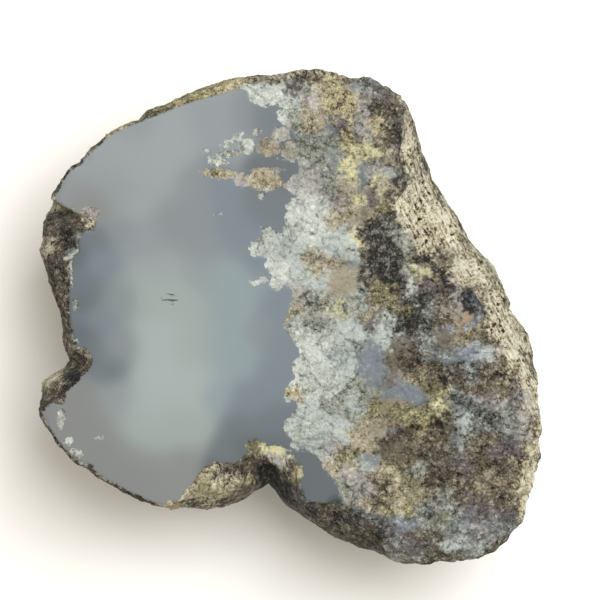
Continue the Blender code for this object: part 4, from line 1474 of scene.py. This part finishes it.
@dataclass(frozen=True)
class StoneFinish:
    """The stone's node material: smooth chalcedony, and grains of three tones everywhere else."""

    swirl_height: float = 0.3
    swirl_per_mm: float = 1.1
    swirl_detail: float = 3.0
    fine_noise: Noise = (3.4, 2.0, 0.6)
    fine_tone: float = 1.1
    # Cells of grain: waves per millimetre, the tone that falls to each by chance, and painted rounding shade,
    # lighter in the middle and darker at the edge
    grain_cells: tuple = ((2.1, 0.45, 0.5), (0.85, 0.25, 0.4))
    grain_reach: float = 0.42
    curl_noise: Noise = (0.75, 2.0, 0.5)
    light_curl: tuple[float, float, float] = (0.5, 0.024, 0.4)
    dark_curl: tuple[float, float, float] = (0.455, 0.022, -0.45)
    lamina_turn: float = math.radians(-63.0)
    lamina_scale: tuple[float, float, float] = (0.24, 2.3, 1.5)
    lamina_noise: Noise = (1.0, 3.0, 0.62)
    lamina_tone: float = 2.8
    pit_per_mm: float = 0.75
    pit_lots: tuple[float, float] = (0.35, 1.0)
    pit_reach: float = 0.42
    pit_edge: float = 0.16
    # Painted shade: how much darker the pits are made, for the shade that falls in them
    pit_shade_tone: float = -0.75
    dark_from: tuple[float, float] = (0.04, -0.7)
    light_from: tuple[float, float] = (-0.04, 0.7)
    drift_noise: Noise = (0.2, 3.0, 0.6)
    drift_tone: float = 0.5
    border_noise: Noise = (0.9, 4.0, 0.62)
    border_height: float = 1.3
    border_cells_per_mm: float = 1.3
    border_cell_height: float = 0.5
    border_width: float = 0.1
    cloud_noise: Noise = (0.06, 2.0, 0.5)
    cloud_tone: float = 0.05
    haze_noise: Noise = (0.5, 2.0, 0.5)
    haze_tone: float = 0.03
    dash_place: tuple[float, float, float] = (-22.8, 3.4, 38.0)
    dash_reach: tuple[float, float, float] = (2.6, 1.7, 4.0)
    dash_fade: tuple[float, float] = (0.6, 1.0)
    dash_scale: tuple[float, float, float] = (0.3, 1.9, 0.0)
    dash_noise: Noise = (1.0, 1.0, 0.5)
    dash_level: tuple[float, float] = (0.53, 0.59)
    dash_tone: float = 0.75
    chalcedony_roughness: float = 0.34
    specular: float = 0.3
    bump_distance: float = 0.0002
    bump_strength: float = 0.7

    def make(self) -> bpy.types.Material:
        """Makes the material.

        Returns:
            The material, which reads what the stone's points hold.
        """
        material = bpy.data.materials.new("agate_stone")
        bench = NodeBench(material)
        place = bench.vector("SCALE", bench.add("ShaderNodeTexCoord").outputs["Object"], scale=1.0 / MM)
        moved = bench.vector("ADD", place, self.swirl(bench, place))
        grain = self.grain(bench, place, moved)
        mask = self.crystal_mask(bench, moved)
        colour = bench.mix(mask, self.milk_colour(bench, place), self.mineral_colour(bench, grain, place))
        rougher = bench.math("SUBTRACT", bench.attribute("roughness"), self.chalcedony_roughness)
        height = bench.math("MULTIPLY", grain, mask)
        relief = {"Strength": self.bump_strength, "Distance": self.bump_distance, "Height": height}
        inputs = {
            "Base Color": colour,
            "Roughness": bench.math("MULTIPLY_ADD", mask, rougher, self.chalcedony_roughness),
            "Specular IOR Level": self.specular,
            "Normal": bench.add("ShaderNodeBump", relief).outputs[0],
        }
        for name, value in inputs.items():
            bench.feed(bench.shader.inputs[name], value)
        return material

    def swirl(self, bench: NodeBench, place: object) -> bpy.types.NodeSocket:
        """Gives small moves that bend the grains.

        Args:
            bench: The material's nodes.
            place: The place on the stone, in millimetres.

        Returns:
            The moves, in millimetres.
        """
        inputs = {"Vector": place, "Scale": self.swirl_per_mm, "Detail": self.swirl_detail}
        colour = bench.add("ShaderNodeTexNoise", inputs).outputs["Color"]
        around = bench.vector("SUBTRACT", colour, (0.5, 0.5, 0.5))
        return bench.vector("SCALE", around, scale=2 * self.swirl_height)

    def grain(self, bench: NodeBench, place: object, moved: object) -> bpy.types.NodeSocket:
        """Gives uneven grains, each painted lighter in its middle and darker to its edge as a rounded knob
        looks in light, with ledges and pits in the crust.

        Args:
            bench: The material's nodes.
            place: The place on the stone, in millimetres.
            moved: The same, moved by the swirl.

        Returns:
            A number mostly within half of 0, which is higher on light grains.
        """
        grain = bench.math("MULTIPLY", bench.waves(moved, self.fine_noise), self.fine_tone)
        for per_mm, tone, bulge_and_rounding_shade in self.grain_cells:
            cells = bench.cells(moved, per_mm)
            grain = bench.math("MULTIPLY_ADD", bench.math("SUBTRACT", bench.lot(cells), 0.5), tone, grain)
            # Painted shade: each cell is lighter in its middle and darker towards its edge, as a rounded knob
            # looks in light; the same number raises the bump
            middle = bench.math("SUBTRACT", self.grain_reach, cells.outputs["Distance"])
            grain = bench.math("MULTIPLY_ADD", middle, bulge_and_rounding_shade, grain)
        grain = bench.math("ADD", grain, self.curls(bench, moved))
        grain = bench.math("MULTIPLY_ADD", grain, bench.attribute("speckle"), bench.attribute("balance"))
        laminae = self.laminae(bench, place)
        crust = bench.math("MULTIPLY_ADD", laminae, self.lamina_tone, self.pits(bench, moved))
        return bench.math("MULTIPLY_ADD", crust, bench.attribute("crust"), grain)

    def curls(self, bench: NodeBench, moved: object) -> bpy.types.NodeSocket:
        """Gives thin curled lines, light ones beside dark ones, as the edges of crystals show.

        Args:
            bench: The material's nodes.
            moved: The place on the stone, moved by the swirl.

        Returns:
            A number that is 0 off the lines.
        """
        waves = bench.noise(moved, self.curl_noise)
        total = 0.0
        for level, width, tone in (self.light_curl, self.dark_curl):
            away = bench.math("ABSOLUTE", bench.math("SUBTRACT", waves, level))
            line = bench.math("SUBTRACT", 1.0, bench.step(away, 0.0, width))
            total = bench.math("MULTIPLY_ADD", line, tone, total)
        return total

    def laminae(self, bench: NodeBench, place: object) -> bpy.types.NodeSocket:
        """Gives fine streaks along the crust.

        Args:
            bench: The material's nodes.
            place: The place on the stone, in millimetres.

        Returns:
            A number around 0.
        """
        inputs = {"Vector": place, "Angle": -self.lamina_turn}
        turned = bench.add("ShaderNodeVectorRotate", inputs, rotation_type="Z_AXIS").outputs[0]
        return bench.waves(bench.vector("MULTIPLY", turned, self.lamina_scale), self.lamina_noise)

    def pits(self, bench: NodeBench, moved: object) -> bpy.types.NodeSocket:
        """Gives small scattered pits, painted dark as the shade that falls in them; the bump sinks them too.

        Args:
            bench: The material's nodes.
            moved: The place on the stone, moved by the swirl.

        Returns:
            A number that falls under 0 in the pits.
        """
        cells = bench.cells(moved, self.pit_per_mm)
        size = bench.step(bench.lot(cells, 1), *self.pit_lots)
        near = bench.math("SUBTRACT", bench.math("MULTIPLY", size, self.pit_reach), cells.outputs["Distance"])
        return bench.math("MULTIPLY", bench.step(near, 0.0, self.pit_edge), self.pit_shade_tone)

    def mineral_colour(self, bench: NodeBench, grain: object, place: object) -> bpy.types.NodeSocket:
        """Gives the colour of everything but chalcedony.

        Args:
            bench: The material's nodes.
            grain: The grains.
            place: The place on the stone, in millimetres.

        Returns:
            The colour.
        """
        light = bench.step(grain, *self.light_from)
        colour = bench.mix(light, bench.attribute("middle", "Color"), bench.attribute("light", "Color"))
        dark = bench.step(grain, *self.dark_from)
        colour = bench.mix(dark, colour, bench.attribute("dark", "Color"))
        drift = bench.math("MULTIPLY_ADD", bench.waves(place, self.drift_noise), self.drift_tone, 1.0)
        return bench.vector("SCALE", colour, scale=drift)

    def crystal_mask(self, bench: NodeBench, moved: object) -> bpy.types.NodeSocket:
        """Tells crystal and matrix from chalcedony, with a feathery border.

        Args:
            bench: The material's nodes.
            moved: The place on the stone, moved by the swirl.

        Returns:
            A number that is 1 in crystal and matrix and 0 in chalcedony.
        """
        ragged = bench.waves(moved, self.border_noise)
        depth = bench.math("MULTIPLY_ADD", ragged, self.border_height, bench.attribute("crystal_depth"))
        stepped = bench.math("SUBTRACT", bench.lot(bench.cells(moved, self.border_cells_per_mm)), 0.5)
        depth = bench.math("MULTIPLY_ADD", stepped, self.border_cell_height, depth)
        return bench.step(depth, -self.border_width, self.border_width)

    def milk_colour(self, bench: NodeBench, place: object) -> bpy.types.NodeSocket:
        """Gives the chalcedony's colour, with faint clouds and the dashes.

        Args:
            bench: The material's nodes.
            place: The place on the stone, in millimetres.

        Returns:
            The colour.
        """
        value = bench.math("MULTIPLY_ADD", bench.waves(place, self.cloud_noise), self.cloud_tone, 1.0)
        value = bench.math("MULTIPLY_ADD", bench.waves(place, self.haze_noise), self.haze_tone, value)
        value = bench.math("MULTIPLY", value, self.dashes(bench, place))
        return bench.vector("SCALE", bench.attribute("milk", "Color"), scale=value)

    def dashes(self, bench: NodeBench, place: object) -> bpy.types.NodeSocket:
        """Gives the few thin dark dashes in the chalcedony.

        Args:
            bench: The material's nodes.
            place: The place on the stone, in millimetres.

        Returns:
            A number that is 1 off the dashes and lower on them.
        """
        away = bench.vector("SUBTRACT", place, self.dash_place)
        reach = bench.vector("DIVIDE", away, self.dash_reach)
        far = bench.add("ShaderNodeVectorMath", {0: reach}, operation="LENGTH").outputs["Value"]
        within = bench.math("SUBTRACT", 1.0, bench.step(far, *self.dash_fade))
        lines = bench.noise(bench.vector("MULTIPLY", away, self.dash_scale), self.dash_noise)
        lines = bench.step(bench.math("MULTIPLY", lines, within), *self.dash_level)
        return bench.math("MULTIPLY_ADD", lines, -self.dash_tone, 1.0)


@dataclass
class Studio:
    """The floor, the lights and the camera."""

    floor_width: float = 3.0
    floor_colour: Colour = (0.92, 0.91, 0.89)
    floor_roughness: float = 0.9
    camera_pixel: tuple[float, float] = (300.0, 300.0)
    lens: float = 250.0
    sensor: float = 36.0
    key_place: tuple[float, float, float] = (0.34, 0.3, 1.0)
    key_size: float = 0.75
    key_power: float = 13.4
    key_colour: Colour = (0.98, 0.99, 1.0)
    sky_strength: float = 0.62
    sky_colour: Colour = (1.0, 0.945, 0.82)

    def build(self) -> None:
        """Builds the studio round the stone."""
        self.lay_floor()
        self.hang_key()
        self.fill_sky()
        self.place_camera()
        scene = bpy.context.scene
        scene.view_settings.view_transform = "Standard"

    def lay_floor(self) -> None:
        """Lays a plain pale floor."""
        half = self.floor_width / 2
        mesh = bpy.data.meshes.new("floor")
        corners = [(-half, -half, 0.0), (half, -half, 0.0), (half, half, 0.0), (-half, half, 0.0)]
        mesh.from_pydata(corners, [], [(0, 1, 2, 3)])
        floor = bpy.data.objects.new("floor", mesh)
        bpy.context.scene.collection.objects.link(floor)
        material = bpy.data.materials.new("pale_floor")
        bench = NodeBench(material)
        bench.shader.inputs["Base Color"].default_value = (*self.floor_colour, 1.0)
        bench.shader.inputs["Roughness"].default_value = self.floor_roughness
        mesh.materials.append(material)

    def hang_key(self) -> None:
        """Hangs the soft key light, aimed at the stone."""
        light = bpy.data.lights.new("key", "AREA")
        light.size = self.key_size
        light.energy = self.key_power
        light.color = self.key_colour
        lamp = bpy.data.objects.new("key", light)
        lamp.location = self.key_place
        lamp.rotation_euler = (-Vector(self.key_place)).to_track_quat("-Z", "Y").to_euler()
        bpy.context.scene.collection.objects.link(lamp)

    def fill_sky(self) -> None:
        """Fills the shadows with even light."""
        world = bpy.data.worlds.new("soft_room")
        world.use_nodes = True
        background = world.node_tree.nodes["Background"]
        background.inputs["Color"].default_value = (*self.sky_colour, 1.0)
        background.inputs["Strength"].default_value = self.sky_strength
        bpy.context.scene.world = world

    def place_camera(self) -> None:
        """Places the camera straight above the photograph's middle."""
        x = (self.camera_pixel[0] - MIDDLE_PIXEL[0]) * MM_PER_PIXEL * MM
        y = (MIDDLE_PIXEL[1] - self.camera_pixel[1]) * MM_PER_PIXEL * MM
        width = IMAGE_PIXELS * MM_PER_PIXEL * MM
        data = bpy.data.cameras.new("camera")
        data.lens = self.lens
        data.sensor_width = self.sensor
        camera = bpy.data.objects.new("camera", data)
        camera.location = (x, y, NoduleForm().thickness * MM + width * self.lens / self.sensor)
        bpy.context.scene.collection.objects.link(camera)
        bpy.context.scene.camera = camera


def main() -> None:
    """Builds the stone and the studio round it."""
    logging.basicConfig(level=logging.INFO, format="%(name)s: %(message)s")
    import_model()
    noise.seed_set(VECTOR_SEED)
    stone = Nodule().build()
    stone.data.materials.append(StoneFinish().make())
    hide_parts(NODE)
    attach(stone, BODY)
    LOG.info("agate_stone: %d triangles", len(stone.data.polygons))
    Studio().build()
    LOG.info("studio: floor, key light, sky and camera")


if __name__ == "__main__":
    main()
